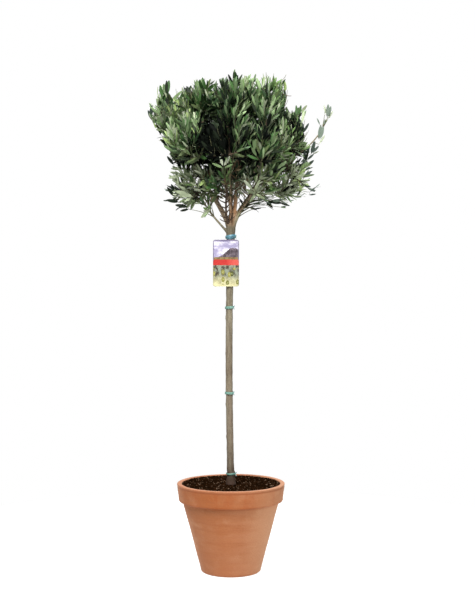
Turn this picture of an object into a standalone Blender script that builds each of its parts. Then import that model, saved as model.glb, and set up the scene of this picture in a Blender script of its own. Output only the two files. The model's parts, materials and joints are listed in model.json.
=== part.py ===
"""Olive tree on a clear stem, standing in a terracotta pot.

Metres, +Z up. The origin is the middle of the pot's flat underside, and -Y is the tree's front.
The trunk carries six main boughs, lesser boughs leave those, and each bough ends in one mass of foliage.
"""

import itertools
import math
import random

import bmesh
import bpy
from mathutils import Matrix, Vector

# Room between two solids that meet
GAP = 0.0003

# Pot
POT_HEIGHT = 0.2450
POT_RIM_RADIUS = 0.1502
POT_COLLAR_FOOT_RADIUS = 0.1451
POT_COLLAR_FOOT_HEIGHT = 0.1960
POT_FOOT_RADIUS = 0.0820
POT_FLARE = 0.2637
POT_LIP = 0.0130
POT_WALL = 0.0120
POT_FLOOR = 0.0160
POT_FOOT_ROUNDING = 0.0070
POT_EDGE_ROUNDING = 0.0030
POT_SIDES = 36

# Soil
SOIL_HEIGHT = 0.2396
SOIL_EDGE_DROP = 0.0055
SOIL_MIDDLE_DROP = 0.0019
SOIL_PLATEAU = 0.0300

# Trunk
TRUNK_FORK_HEIGHT = 0.9660
TRUNK_RADIUS = 0.0098
TRUNK_FOOT_SWELL = 0.0050
TRUNK_FOOT_SWELL_HEIGHT = 0.0180
TRUNK_NECK_SWELL = 0.0038
TRUNK_NECK_SWELL_HEIGHT = 0.0500
TRUNK_BOW = 0.0050
TRUNK_RINGS = 14

# Ties round the trunk, and the label strapped under the top one
TIE_HEIGHTS = {"tie_top": 0.9300, "tie_upper": 0.7330, "tie_middle": 0.4945, "tie_foot": 0.2700}
TIE_WIRE = 0.0012
TIE_STRETCH = 2.2
LABEL_WIDTH = 0.0720
LABEL_HEIGHT = 0.1300
LABEL_THICKNESS = 0.0008
LABEL_CORNER = 0.0060
LABEL_TOP = 0.9215
LABEL_SHIFT = -0.0125
LABEL_STRAP_HEIGHT = 0.9165
LABEL_STRAP_WIRE = 0.0008
LABEL_STRAP_STRETCH = 4.0

# Leaves. Spreads, rolls and turns are in degrees, and a leaf takes the first spread, size and turn that
# has room. Spreads are from the twig, and turns are about it.
LEAF_LENGTH = 0.0670
LEAF_WIDTH = 0.0205
LEAF_THICKNESS = 0.0020
LEAF_WIDEST = 0.40
LEAF_SIZES = (1.0, 0.82, 0.66)
LEAF_SPREADS = (50, 34, 72, 88)
LEAF_TURNS = (0, 45, -30)
LEAF_ROLL = 55
LEAF_LIFT = 0.18
LEAF_OUTWARD = 0.35
LEAF_SUNK = 0.0004
LEAF_SPACING = 0.0180
LEAF_STANDS_OUT = 0.036
LEAF_APART = 0.0060

# Twigs, and the stem of each mass that they grow from
TWIG_ROOT_RADIUS = 0.0021
TWIG_TIP_RADIUS = 0.0015
TWIG_BARE = 0.40
TWIG_LEAST_LENGTH = 0.018
TWIG_TIP_DEPTH = 0.45
TWIG_WALL_ROOM = 0.009
TWIG_DRAWS = 60
TWIG_FORKS = (0.35, 0.6, 0.85)
STEM_TIP_RADIUS = 0.0017
STEM_LEANS = ((0, 0), (0, -1), (0, 1), (1, 0), (-1, 0), (0, -2), (0, 2), (2, 0), (-2, 0))
STEM_LENGTH = 0.82
STEM_STEPS = 4

# Main boughs leave the trunk and lesser ones leave another bough. Each row is the limb that it leaves,
# how far along that limb, and its radius where it leaves and where it ends.
BOUGHS = {
    "bough_left": ("trunk", 0.985, 0.0074, 0.0034),
    "bough_right": ("trunk", 0.985, 0.0078, 0.0034),
    "bough_centre": ("trunk", 0.990, 0.0066, 0.0030),
    "bough_back": ("trunk", 0.980, 0.0066, 0.0032),
    "bough_front": ("trunk", 0.975, 0.0034, 0.0022),
    "bough_left_low": ("trunk", 0.960, 0.0034, 0.0022),
    "bough_left_front": ("bough_left", 0.55, 0.0036, 0.0024),
    "bough_left_top": ("bough_left", 0.70, 0.0036, 0.0024),
    "bough_left_back": ("bough_left", 0.45, 0.0038, 0.0024),
    "bough_right_top": ("bough_right", 0.62, 0.0038, 0.0024),
    "bough_right_front": ("bough_right", 0.42, 0.0038, 0.0024),
    "bough_right_low": ("bough_right", 0.52, 0.0038, 0.0024),
    "bough_right_spray": ("bough_right", 0.60, 0.0026, 0.0018),
    "bough_right_skirt": ("bough_right", 0.16, 0.0030, 0.0019),
    "bough_front_low": ("bough_front", 0.30, 0.0026, 0.0018),
    "bough_back_top": ("bough_back", 0.62, 0.0036, 0.0024),
    "bough_back_right": ("bough_back", 0.50, 0.0036, 0.0024),
}

# Each mass is the bough that carries it, its middle, the reach of its twigs from there along X, Y and Z,
# how far its leading shoot stands out, and its number of twigs.
MASSES = {
    "foliage_left_upper": ("bough_left", (-0.172, -0.005, 1.276), (0.056, 0.070, 0.072), 0.004, 10),
    "foliage_left_front": ("bough_left_front", (-0.108, -0.084, 1.190), (0.070, 0.070, 0.074), 0.0, 11),
    "foliage_left_top": ("bough_left_top", (-0.082, -0.030, 1.300), (0.068, 0.078, 0.054), 0.0, 10),
    "foliage_left_back": ("bough_left_back", (-0.110, 0.098, 1.216), (0.078, 0.070, 0.084), 0.0, 11),
    "foliage_left_low": ("bough_left_low", (-0.104, -0.020, 1.078), (0.064, 0.076, 0.056), 0.0, 9),
    "foliage_top": ("bough_centre", (0.010, -0.070, 1.298), (0.068, 0.074, 0.060), 0.006, 11),
    "foliage_front": ("bough_front", (-0.004, -0.118, 1.180), (0.072, 0.062, 0.078), 0.0, 11),
    "foliage_front_low": ("bough_front_low", (-0.018, -0.062, 1.084), (0.060, 0.060, 0.050), 0.0, 8),
    "foliage_right_top": ("bough_right_top", (0.106, -0.020, 1.300), (0.068, 0.080, 0.060), 0.0, 10),
    "foliage_right_upper": ("bough_right", (0.170, -0.005, 1.220), (0.058, 0.084, 0.068), 0.0, 10),
    "foliage_right_front": ("bough_right_front", (0.092, -0.108, 1.180), (0.070, 0.064, 0.074), 0.0, 11),
    "foliage_right_low": ("bough_right_low", (0.146, 0.000, 1.100), (0.072, 0.080, 0.060), 0.0, 10),
    "foliage_right_spray": ("bough_right_spray", (0.252, 0.000, 1.222), (0.012, 0.020, 0.080), 0.0, 5),
    "foliage_right_skirt": ("bough_right_skirt", (0.072, -0.060, 1.070), (0.058, 0.058, 0.042), 0.0, 8),
    "foliage_back_top": ("bough_back_top", (0.014, 0.088, 1.300), (0.086, 0.076, 0.062), 0.0, 11),
    "foliage_back": ("bough_back", (0.000, 0.114, 1.160), (0.076, 0.066, 0.086), 0.0, 11),
    "foliage_back_right": ("bough_back_right", (0.122, 0.100, 1.206), (0.076, 0.070, 0.086), 0.0, 11),
}
CROWN_HEART = Vector((0.01, 0.0, 1.13))
BOUGH_RISE = 0.55
BOUGH_STEPS = 7
BOUGH_TIP_DEPTH = 0.60
SEED = 17

SOLIDS = bpy.data.collections.new("OliveTree")
HELPERS = bpy.data.collections.new("Helpers")


def clear_scene():
    for old in list(bpy.data.objects):
        bpy.data.objects.remove(old)
    for collection in (SOLIDS, HELPERS):
        bpy.context.scene.collection.children.link(collection)


def principled(name, colour, roughness):
    material = bpy.data.materials.new(name)
    material.use_nodes = True
    shader = material.node_tree.nodes["Principled BSDF"]
    shader.inputs["Base Color"].default_value = (*colour, 1.0)
    shader.inputs["Roughness"].default_value = roughness
    shader.inputs["Metallic"].default_value = 0.0
    return material


def mesh_object(name, mesh, collection=None, material=None):
    made = bpy.data.objects.new(name, mesh)
    (collection or SOLIDS).objects.link(made)
    if material:
        mesh.materials.clear()
        mesh.materials.append(material)
    return made


def evaluated_mesh(source):
    """The mesh that the object's modifiers or bevel give, welded, in the object's own space."""
    bpy.context.view_layer.update()
    graph = bpy.context.evaluated_depsgraph_get()
    mesh = bpy.data.meshes.new_from_object(source.evaluated_get(graph))
    work = bmesh.new()
    work.from_mesh(mesh)
    bmesh.ops.remove_doubles(work, verts=work.verts, dist=1e-6)
    work.to_mesh(mesh)
    work.free()
    return mesh


def as_mesh(source, name, material=None):
    """Replaces a curve or a modified object by a plain mesh object of the same shape."""
    mesh = evaluated_mesh(source)
    matrix = source.matrix_world.copy()
    collection = source.users_collection[0]
    bpy.data.objects.remove(source)
    made = mesh_object(name, mesh, collection, material)
    made.matrix_world = matrix
    return made


# Turned pieces


def turned(name, profile, material):
    """Turns a profile of (radius, height) points, which runs down its outer side, about the Z axis."""
    mesh = bpy.data.meshes.new(name)
    points = [(radius, 0.0, height) for radius, height in profile]
    mesh.from_pydata(points, [(i, i + 1) for i in range(len(points) - 1)], [])
    made = mesh_object(name, mesh, material=material)
    screw = made.modifiers.new("Turn", "SCREW")
    screw.axis = "Z"
    screw.angle = math.tau
    screw.steps = screw.render_steps = POT_SIDES
    screw.use_merge_vertices = True
    screw.merge_threshold = 0.00005
    screw.use_smooth_shade = True
    return made


def arc(centre, radius, start_deg, end_deg, steps):
    """Points of (radius, height) along an arc in the profile's plane."""
    turns = [math.radians(start_deg + (end_deg - start_deg) * i / steps) for i in range(steps + 1)]
    return [(centre[0] + radius * math.cos(a), centre[1] + radius * math.sin(a)) for a in turns]


def pot_body_radius(height):
    return POT_FOOT_RADIUS + POT_FLARE * height


def pot_inner_radius(height):
    """The inner wall, straight from the lip to the floor."""
    top = POT_RIM_RADIUS - POT_LIP
    foot = pot_body_radius(POT_FLOOR) - POT_WALL
    share = (height - POT_FLOOR) / (POT_HEIGHT - POT_FLOOR)
    return foot + (top - foot) * share


def build_pot(material):
    edge = POT_EDGE_ROUNDING
    foot = POT_FOOT_ROUNDING
    top = POT_HEIGHT - edge
    under = POT_COLLAR_FOOT_HEIGHT
    profile = [(0.0, POT_FLOOR), (pot_inner_radius(POT_FLOOR), POT_FLOOR)]
    profile += arc((POT_RIM_RADIUS - POT_LIP + edge, top), edge, 180, 90, 3)
    profile += arc((POT_RIM_RADIUS - edge, top), edge, 90, 0, 3)
    profile += arc((POT_COLLAR_FOOT_RADIUS - edge, under + edge), edge, 0, -90, 3)
    profile += arc((pot_body_radius(under - edge) + edge, under - edge), edge, 90, 180, 2)
    profile += arc((pot_body_radius(foot) - foot, foot), foot, 0, -90, 3)
    profile += [(0.0, 0.0)]
    return turned("pot", profile, material)


def build_soil(material):
    edge_height = SOIL_HEIGHT - SOIL_EDGE_DROP
    floor = POT_FLOOR + GAP
    room = 2 * GAP
    middle = (SOIL_PLATEAU + pot_inner_radius(edge_height)) / 2
    profile = [
        (0.0, SOIL_HEIGHT),
        (SOIL_PLATEAU, SOIL_HEIGHT),
        (middle, SOIL_HEIGHT - SOIL_MIDDLE_DROP),
        (pot_inner_radius(edge_height) - room, edge_height),
        (pot_inner_radius(floor) - room, floor),
        (0.0, floor),
    ]
    return turned("soil", profile, material)


# Limbs


def bezier(a, b, c, d, steps):
    """Evenly spaced points on a cubic curve."""
    points = []
    for i in range(steps + 1):
        t = i / steps
        s = 1 - t
        points.append(s**3 * a + 3 * s * s * t * b + 3 * s * t * t * c + t**3 * d)
    return points


class Limb:
    """A tapering limb: the points of its axis and the radius at each."""

    def __init__(self, points, radii):
        self.points = points
        self.radii = radii

    def at(self, share):
        """(point, direction, radius) at a share of the way along."""
        place = max(0.0, min(share, 1.0)) * (len(self.points) - 1)
        i = min(int(place), len(self.points) - 2)
        part = place - i
        point = self.points[i].lerp(self.points[i + 1], part)
        direction = (self.points[i + 1] - self.points[i]).normalized()
        return point, direction, self.radii[i] + (self.radii[i + 1] - self.radii[i]) * part

    def segments(self):
        for i in range(len(self.points) - 1):
            yield self.points[i], self.points[i + 1], max(self.radii[i], self.radii[i + 1])

    def swollen(self, by):
        """The same limb grown by a clearance all round."""
        first = (self.points[0] - self.points[1]).normalized() * by
        last = (self.points[-1] - self.points[-2]).normalized() * by
        points = [self.points[0] + first, *self.points[1:-1], self.points[-1] + last]
        return Limb(points, [radius + by for radius in self.radii])

    def box(self):
        low = Vector([min(p[k] for p in self.points) - max(self.radii) for k in range(3)])
        high = Vector([max(p[k] for p in self.points) + max(self.radii) for k in range(3)])
        return low, high


def trunk_limb():
    """The trunk's axis bows a little, and its radius swells at the foot and under the fork."""
    foot = SOIL_HEIGHT + GAP
    length = TRUNK_FORK_HEIGHT - foot
    points, radii = [], []
    for i in range(TRUNK_RINGS + 1):
        share = (i / TRUNK_RINGS) ** 1.15
        above = share * length
        bow = TRUNK_BOW * math.sin(math.pi * share) if i > 1 else 0.0
        points.append(Vector((-bow, 0.0, foot + above)))
        flare = TRUNK_FOOT_SWELL * math.exp(-above / TRUNK_FOOT_SWELL_HEIGHT)
        neck = TRUNK_NECK_SWELL * math.exp(-(((length - above) / TRUNK_NECK_SWELL_HEIGHT) ** 2))
        radii.append(TRUNK_RADIUS + flare + neck)
    return Limb(points, radii)


def bough_limb(name, parent, middle, reach):
    """A bough that leaves its parent the way the parent points, and bends up into its mass."""
    _, share, root_radius, tip_radius = BOUGHS[name]
    root, along, _ = parent.at(share)
    inward = (root - middle).normalized()
    edge = 1 / math.sqrt(sum((inward[k] / reach[k]) ** 2 for k in range(3)))
    tip = middle + inward * edge * BOUGH_TIP_DEPTH
    chord = tip - root
    leave = (along * BOUGH_RISE + chord.normalized()).normalized()
    arrive = (chord.normalized() + Vector((0.0, 0.0, BOUGH_RISE))).normalized()
    handle = chord.length / 3
    points = bezier(root, root + leave * handle, tip - arrive * handle, tip, BOUGH_STEPS)
    shares = [i / BOUGH_STEPS for i in range(BOUGH_STEPS + 1)]
    return Limb(points, [root_radius + (tip_radius - root_radius) * share for share in shares])


def tube(name, limb, resolution, collection=None, material=None):
    """A limb as a bevelled curve with filled caps, made a mesh."""
    curve = bpy.data.curves.new(name, "CURVE")
    curve.dimensions = "3D"
    curve.bevel_depth = 1.0
    curve.bevel_resolution = resolution
    curve.use_fill_caps = True
    spline = curve.splines.new("POLY")
    spline.points.add(len(limb.points) - 1)
    for point, place, radius in zip(spline.points, limb.points, limb.radii):
        point.co = (*place, 1.0)
        point.radius = radius
    made = bpy.data.objects.new(name + "_curve", curve)
    (collection or SOLIDS).objects.link(made)
    return as_mesh(made, name, material)


def boolean(target, operation, other=None, collection=None):
    """Applies one Boolean to the target and keeps its largest body."""
    modifier = target.modifiers.new("Join", "BOOLEAN")
    modifier.operation = operation
    modifier.solver = "EXACT"
    if collection:
        modifier.operand_type = "COLLECTION"
        modifier.collection = collection
    else:
        modifier.object = other
    mesh = evaluated_mesh(target)
    target.modifiers.clear()
    old = target.data
    target.data = mesh
    bpy.data.meshes.remove(old)
    keep_largest(target)


def keep_largest(target):
    """Drops every loose scrap and sealed hollow."""
    work = bmesh.new()
    work.from_mesh(target.data)
    unseen = set(work.faces)
    shells = []
    while unseen:
        queue = [unseen.pop()]
        shell = list(queue)
        while queue:
            for edge in queue.pop().edges:
                for face in edge.link_faces:
                    if face in unseen:
                        unseen.remove(face)
                        queue.append(face)
                        shell.append(face)
        shells.append(shell)
    shells.sort(key=len, reverse=True)
    for shell in shells[1:]:
        bmesh.ops.delete(work, geom=shell, context="FACES")
    work.to_mesh(target.data)
    work.free()


def is_closed(mesh):
    """True if two faces meet at every edge."""
    work = bmesh.new()
    work.from_mesh(mesh)
    closed = all(len(edge.link_faces) == 2 for edge in work.edges)
    work.free()
    return closed


def boxes_meet(first, second):
    (low_a, high_a), (low_b, high_b) = first.box(), second.box()
    return all(low_a[k] <= high_b[k] and low_b[k] <= high_a[k] for k in range(3))


def helper(made):
    made.hide_render = True
    made.display_type = "WIRE"
    return made


def build_limbs(material):
    """The trunk and the boughs. Where a bough leaves another limb, it is cut to that limb's surface."""
    limbs = {"trunk": trunk_limb()}
    tube("trunk", limbs["trunk"], 4, material=material)
    carried = {bough: (Vector(middle), Vector(reach)) for bough, middle, reach, *_ in MASSES.values()}
    for name, (parent, *_) in BOUGHS.items():
        limb = bough_limb(name, limbs[parent], *carried[name])
        made = tube(name, limb, 2 if parent == "trunk" else 1, material=material)
        for earlier in limbs.values():
            if boxes_meet(limb, earlier):
                cutter = helper(tube("cutter", earlier.swollen(GAP), 4, collection=HELPERS))
                boolean(made, "DIFFERENCE", other=cutter)
                bpy.data.objects.remove(cutter)
        limbs[name] = limb
    return limbs


# Foliage


def segment_distance(a, b, c, d):
    """The least distance between the stretches a-b and c-d."""
    u, v, w = b - a, d - c, a - c
    uu, uv, vv, uw, vw = u.dot(u), u.dot(v), v.dot(v), u.dot(w), v.dot(w)
    det = uu * vv - uv * uv
    s = max(0.0, min(1.0, (uv * vw - vv * uw) / det)) if det > 1e-12 else 0.0
    t = max(0.0, min(1.0, (uv * s + vw) / vv)) if vv > 0 else 0.0
    s = max(0.0, min(1.0, (uv * t - uw) / uu)) if uu > 0 else 0.0
    return ((a + u * s) - (c + v * t)).length


class Mass:
    """The space of one mass of foliage: nearer to its own middle than to any other."""

    def __init__(self, name):
        self.name = name
        bough, middle, reach, self.leader, self.twigs = MASSES[name]
        self.bough = bough
        self.middle = Vector(middle)
        self.reach = Vector(reach)
        self.walls = []
        for other, row in MASSES.items():
            if other != name:
                across = Vector(row[1]) - self.middle
                halfway = (Vector(row[1]) + self.middle) / 2
                self.walls.append((halfway, across.normalized()))

    def holds(self, point, margin):
        return all((point - place).dot(outward) < -margin for place, outward in self.walls)

    def depth(self, point, stands_out=0.0):
        """0 in the middle and 1 where the twigs end."""
        return math.sqrt(
            sum(((point[k] - self.middle[k]) / (self.reach[k] + stands_out)) ** 2 for k in range(3))
        )

    def edge(self, direction):
        """How far it is from the middle to where the twigs end."""
        return 1 / math.sqrt(sum((direction[k] / self.reach[k]) ** 2 for k in range(3)))


def stem_limb(mass, limbs):
    """The mass's stem, from just past its bough's tip through the middle and up to the leading shoot.

    It leans aside where its straight way up would meet a bough that passes by.
    """
    tip, along, radius = limbs[mass.bough].at(1.0)
    start = tip + along * GAP
    shares = [i / STEM_STEPS for i in range(STEM_STEPS + 1)]
    radii = [radius + (STEM_TIP_RADIUS - radius) * share for share in shares]
    others = [limb for name, limb in limbs.items() if name != mass.bough]
    for lean in STEM_LEANS:
        rise = ((mass.middle - tip).normalized() + Vector((*lean, 1.2))).normalized()
        end = mass.middle + rise * (mass.edge(rise) * STEM_LENGTH + mass.leader)
        handle = (end - start).length / 3
        points = bezier(start, start + along * handle, end - rise * handle, end, STEM_STEPS)
        if all(clear_of(others, a, b, 2 * radius) for a, b in zip(points, points[1:])):
            break
    else:
        raise ValueError(f"{mass.name}: no way for the stem")
    return Limb(points, radii)


def twig_targets(mass, draw):
    """Places that the twigs grow to. Each is the one of many draws that lies furthest from the others."""
    found = []
    while len(found) < mass.twigs:
        best, room = None, 0.0
        for _ in range(TWIG_DRAWS):
            point = mass.middle + Vector([draw.uniform(-1, 1) * mass.reach[k] for k in range(3)])
            if not TWIG_TIP_DEPTH < mass.depth(point) < 1.0 or not mass.holds(point, TWIG_WALL_ROOM):
                continue
            apart = min([(point - other).length for other in found] or [1.0])
            if apart > room:
                best, room = point, apart
        if best is None:
            break
        found.append(best)
    return found


def clear_of(limbs, a, b, room):
    """True if the stretch a-b stays that far from every limb's surface."""
    return all(
        segment_distance(a, b, c, d) > radius + room
        for limb in limbs
        for c, d, radius in limb.segments()
    )


def grow(mass, limbs, draw):
    """(stem, twigs, leaves) of a mass by the growth rule. Twigs are (a, b), and leaves (matrix, length)."""
    stem = stem_limb(mass, limbs)
    wood = list(limbs.values())
    branches = [stem.at(i / 12)[:2] for i in range(2, 12)]
    twigs = []
    targets = sorted(twig_targets(mass, draw), key=lambda point: (point - stem.points[0]).length)
    for target in targets:
        reached = [
            ((target - root).length - TWIG_LEAST_LENGTH * (target - root).normalized().dot(along), root)
            for root, along in branches
            if (target - root).length > TWIG_LEAST_LENGTH
            and clear_of(wood, root, target, TWIG_ROOT_RADIUS + GAP)
        ]
        if not reached:
            continue
        root = min(reached, key=lambda row: row[0])[1]
        line = target - root
        twigs.append((root, target))
        branches += [(root + line * share, line.normalized()) for share in TWIG_FORKS]
    shoots = twigs + [(stem.at(0.45)[0], stem.points[-1])]
    leaves = []
    for root, tip in shoots:
        near = [shoot for shoot in shoots if shoot[0] != root]
        leaves += shoot_leaves(mass, root, tip, wood, near, leaves, draw)
    return stem, twigs, leaves


def shoot_leaves(mass, root, tip, wood, shoots, others, draw):
    """A leaf at the shoot's tip, and below it opposite pairs, each turned a quarter from the last."""
    line = tip - root
    along = line.normalized()
    side = along.orthogonal().normalized()
    side.rotate(Matrix.Rotation(draw.uniform(0, math.pi), 3, along))
    pairs = max(1, round(line.length * (1 - TWIG_BARE) / LEAF_SPACING))
    found = []
    for i in range(pairs + 1):
        share = 1 - (1 - TWIG_BARE) * i / pairs
        place = root + line * min(share, 0.985)
        for sign in (1, -1) if i else (0,):
            full = LEAF_LENGTH * draw.uniform(0.84, 1.10)
            roll = math.radians(draw.uniform(-LEAF_ROLL, LEAF_ROLL))
            for size, spread, turn in itertools.product(LEAF_SIZES, LEAF_SPREADS, LEAF_TURNS):
                angle = math.radians(turn + 90 * (i % 2))
                out = (Matrix.Rotation(angle, 3, along) @ side) * sign
                matrix = leaf_frame(place, along, out, math.radians(spread), roll)
                if leaf_fits(mass, matrix, full * size, wood, shoots, others + found):
                    found.append((matrix, full * size))
                    break
    return found


def leaf_frame(place, along, out, spread, roll):
    """A leaf's own axes: X along it, Y across it and Z out of its upper face."""
    direction = along * math.cos(spread) + out * math.sin(spread) if out.length else along
    direction = direction + (place - CROWN_HEART).normalized() * LEAF_OUTWARD
    direction = (direction + Vector((0, 0, LEAF_LIFT))).normalized()
    across = along.cross(direction)
    if across.length < 0.2:
        across = direction.orthogonal()
    across = Matrix.Rotation(roll, 3, direction) @ across.normalized()
    upper = direction.cross(across)
    axes = Matrix((direction, across, upper)).transposed().to_4x4()
    return Matrix.Translation(place - direction * LEAF_SUNK) @ axes


def leaf_corners(matrix, length):
    width = length * LEAF_WIDTH / LEAF_LENGTH / 2
    local = [(length, 0, 0), (length * LEAF_WIDEST, width, 0), (length * LEAF_WIDEST, -width, 0)]
    return [matrix @ Vector(corner) for corner in local]


def leaf_fits(mass, matrix, size, wood, shoots, others):
    """True if the leaf keeps to its mass's space and clear of limbs, twigs and other leaves."""
    corners = leaf_corners(matrix, size)
    if mass.depth(corners[0], LEAF_STANDS_OUT) > 1:
        return False
    if not all(mass.holds(corner, LEAF_THICKNESS) for corner in corners):
        return False
    root, tip = matrix.translation, corners[0]
    if not clear_of(wood, root.lerp(tip, 0.12), tip, size * LEAF_WIDTH / LEAF_LENGTH / 2 + GAP):
        return False
    near = root.lerp(tip, 0.2)
    if any(segment_distance(near, tip, *shoot) < 2 * TWIG_ROOT_RADIUS for shoot in shoots):
        return False
    near = root.lerp(tip, 0.3)
    for other, other_size in others:
        if (other.translation - root).length < 0.14:
            other_tip = leaf_corners(other, other_size)[0]
            if segment_distance(near, tip, other.translation.lerp(other_tip, 0.3), other_tip) < LEAF_APART:
                return False
    return True


def leaf_blade():
    """One leaf of six faces and unit length: a three-sided sphere drawn out, with its keel underneath."""
    work = bmesh.new()
    bmesh.ops.create_uvsphere(work, u_segments=3, v_segments=2, radius=1.0)
    half_width = LEAF_WIDTH / LEAF_LENGTH / 2
    thickness = LEAF_THICKNESS / LEAF_LENGTH
    for vert in work.verts:
        x, y, z = vert.co
        along = LEAF_WIDEST if abs(z) < 0.5 else (1.0 if z > 0 else 0.0)
        vert.co = (along, y / math.sin(math.tau / 3) * half_width, -x * thickness * 2 / 3)
    bmesh.ops.recalc_face_normals(work, faces=work.faces)
    mesh = bpy.data.meshes.new("leaf_blade")
    work.to_mesh(mesh)
    work.free()
    return mesh


def twig_mesh(root, tip):
    """A tapering twig of three sides."""
    line = tip - root
    work = bmesh.new()
    bmesh.ops.create_cone(
        work,
        cap_ends=True,
        segments=3,
        radius1=TWIG_ROOT_RADIUS,
        radius2=TWIG_TIP_RADIUS,
        depth=line.length,
        matrix=Matrix.Translation(root + line / 2) @ line.to_track_quat("Z", "Y").to_matrix().to_4x4(),
    )
    mesh = bpy.data.meshes.new("twig")
    work.to_mesh(mesh)
    work.free()
    return mesh


def fuse(name, stem, twigs, leaves, blade, material):
    """One solid of a stem, its twigs and its leaves."""
    made = tube(name, stem, 0, material=material)
    loose = bpy.data.collections.new(name + "_loose")
    bpy.context.scene.collection.children.link(loose)
    for root, tip in twigs:
        mesh_object("twig", twig_mesh(root, tip), loose)
    for matrix, size in leaves:
        leaf = mesh_object("leaf", blade, loose)
        leaf.matrix_world = matrix @ Matrix.Scale(size, 4)
    boolean(made, "UNION", collection=loose)
    for piece in list(loose.objects):
        bpy.data.objects.remove(piece)
    bpy.data.collections.remove(loose)
    return made


def build_mass(name, limbs, blade, material, seed):
    """Grows a mass and fuses it. A growth whose solid isn't closed is grown again from the next seed."""
    mass = Mass(name)
    for attempt in range(5):
        stem, twigs, leaves = grow(mass, limbs, random.Random(seed + attempt))
        made = fuse(name, stem, twigs, leaves, blade, material)
        if is_closed(made.data):
            break
        bpy.data.objects.remove(made)
    faces = sum(len(face.vertices) - 2 for face in made.data.polygons)
    print(f"{name}: {len(twigs)} twigs, {len(leaves)} leaves, {faces} triangles, attempt {attempt}")
    return made


# Ties and label


def trunk_at(trunk, height):
    """The trunk's (centre, radius) at a height."""
    for i in range(len(trunk.points) - 1):
        low, high = trunk.points[i], trunk.points[i + 1]
        if low.z <= height <= high.z:
            part = (height - low.z) / (high.z - low.z)
            return low.lerp(high, part), trunk.radii[i] + (trunk.radii[i + 1] - trunk.radii[i]) * part
    raise ValueError(f"{height} m isn't on the trunk")


def ring_round_trunk(name, trunk, height, wire, stretch, material):
    """A snug ring of wire round the trunk, stretched along it into a band."""
    centre, radius = trunk_at(trunk, height)
    bpy.ops.mesh.primitive_torus_add(
        location=centre,
        major_segments=16,
        minor_segments=5,
        major_radius=radius + wire + 2 * GAP,
        minor_radius=wire,
    )
    made = bpy.context.active_object
    made.name = name
    made.scale.z = stretch
    made.data.materials.append(material)
    for collection in list(made.users_collection):
        collection.objects.unlink(made)
    SOLIDS.objects.link(made)
    return made


def build_label(trunk, material):
    """A card with rounded corners, and the strap that holds it to the trunk."""
    centre, radius = trunk_at(trunk, LABEL_STRAP_HEIGHT)
    curve = bpy.data.curves.new("label", "CURVE")
    curve.dimensions = "2D"
    curve.fill_mode = "BOTH"
    curve.extrude = LABEL_THICKNESS / 2
    half_width, half_height = LABEL_WIDTH / 2, LABEL_HEIGHT / 2
    points = []
    for x, y, start in ((1, 1, 0), (-1, 1, 90), (-1, -1, 180), (1, -1, 270)):
        corner = (x * (half_width - LABEL_CORNER), y * (half_height - LABEL_CORNER))
        points += arc(corner, LABEL_CORNER, start, start + 90, 4)
    outline = curve.splines.new("POLY")
    outline.points.add(len(points) - 1)
    outline.use_cyclic_u = True
    for point, (x, y) in zip(outline.points, points):
        point.co = (x, y, 0.0, 1.0)
    made = bpy.data.objects.new("label_curve", curve)
    SOLIDS.objects.link(made)
    front = centre.y - radius - 2 * GAP - 2 * LABEL_STRAP_WIRE
    made.rotation_euler = (math.pi / 2, 0, 0)
    made.location = (centre.x + LABEL_SHIFT, front, LABEL_TOP - half_height)
    made = as_mesh(made, "label", material)
    wire, stretch = LABEL_STRAP_WIRE, LABEL_STRAP_STRETCH
    strap = ring_round_trunk("strap", trunk, LABEL_STRAP_HEIGHT, wire, stretch, material)
    boolean(made, "UNION", other=strap)
    bpy.data.objects.remove(strap)


def main():
    clear_scene()
    terracotta = principled("Terracotta", (0.52, 0.21, 0.10), 0.85)
    compost = principled("Compost", (0.030, 0.020, 0.013), 0.95)
    bark = principled("Bark", (0.28, 0.23, 0.17), 0.85)
    leaf = principled("Olive leaf", (0.075, 0.120, 0.050), 0.45)
    tie = principled("Tie", (0.10, 0.36, 0.36), 0.50)
    card = principled("Label card", (0.75, 0.72, 0.68), 0.40)
    build_pot(terracotta)
    build_soil(compost)
    limbs = build_limbs(bark)
    for name, height in TIE_HEIGHTS.items():
        ring_round_trunk(name, limbs["trunk"], height, TIE_WIRE, TIE_STRETCH, tie)
    build_label(limbs["trunk"], card)
    blade = leaf_blade()
    for index, name in enumerate(MASSES):
        build_mass(name, limbs, blade, leaf, SEED + 10 * index)
    for made in SOLIDS.objects:
        made.data.shade_smooth()
        made.data.set_sharp_from_angle(angle=math.radians(35))


main()
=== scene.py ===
import json
import math
import random

import bmesh
import bpy
import numpy as np
from mathutils import Matrix, Vector, noise
from mathutils.kdtree import KDTree

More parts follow.
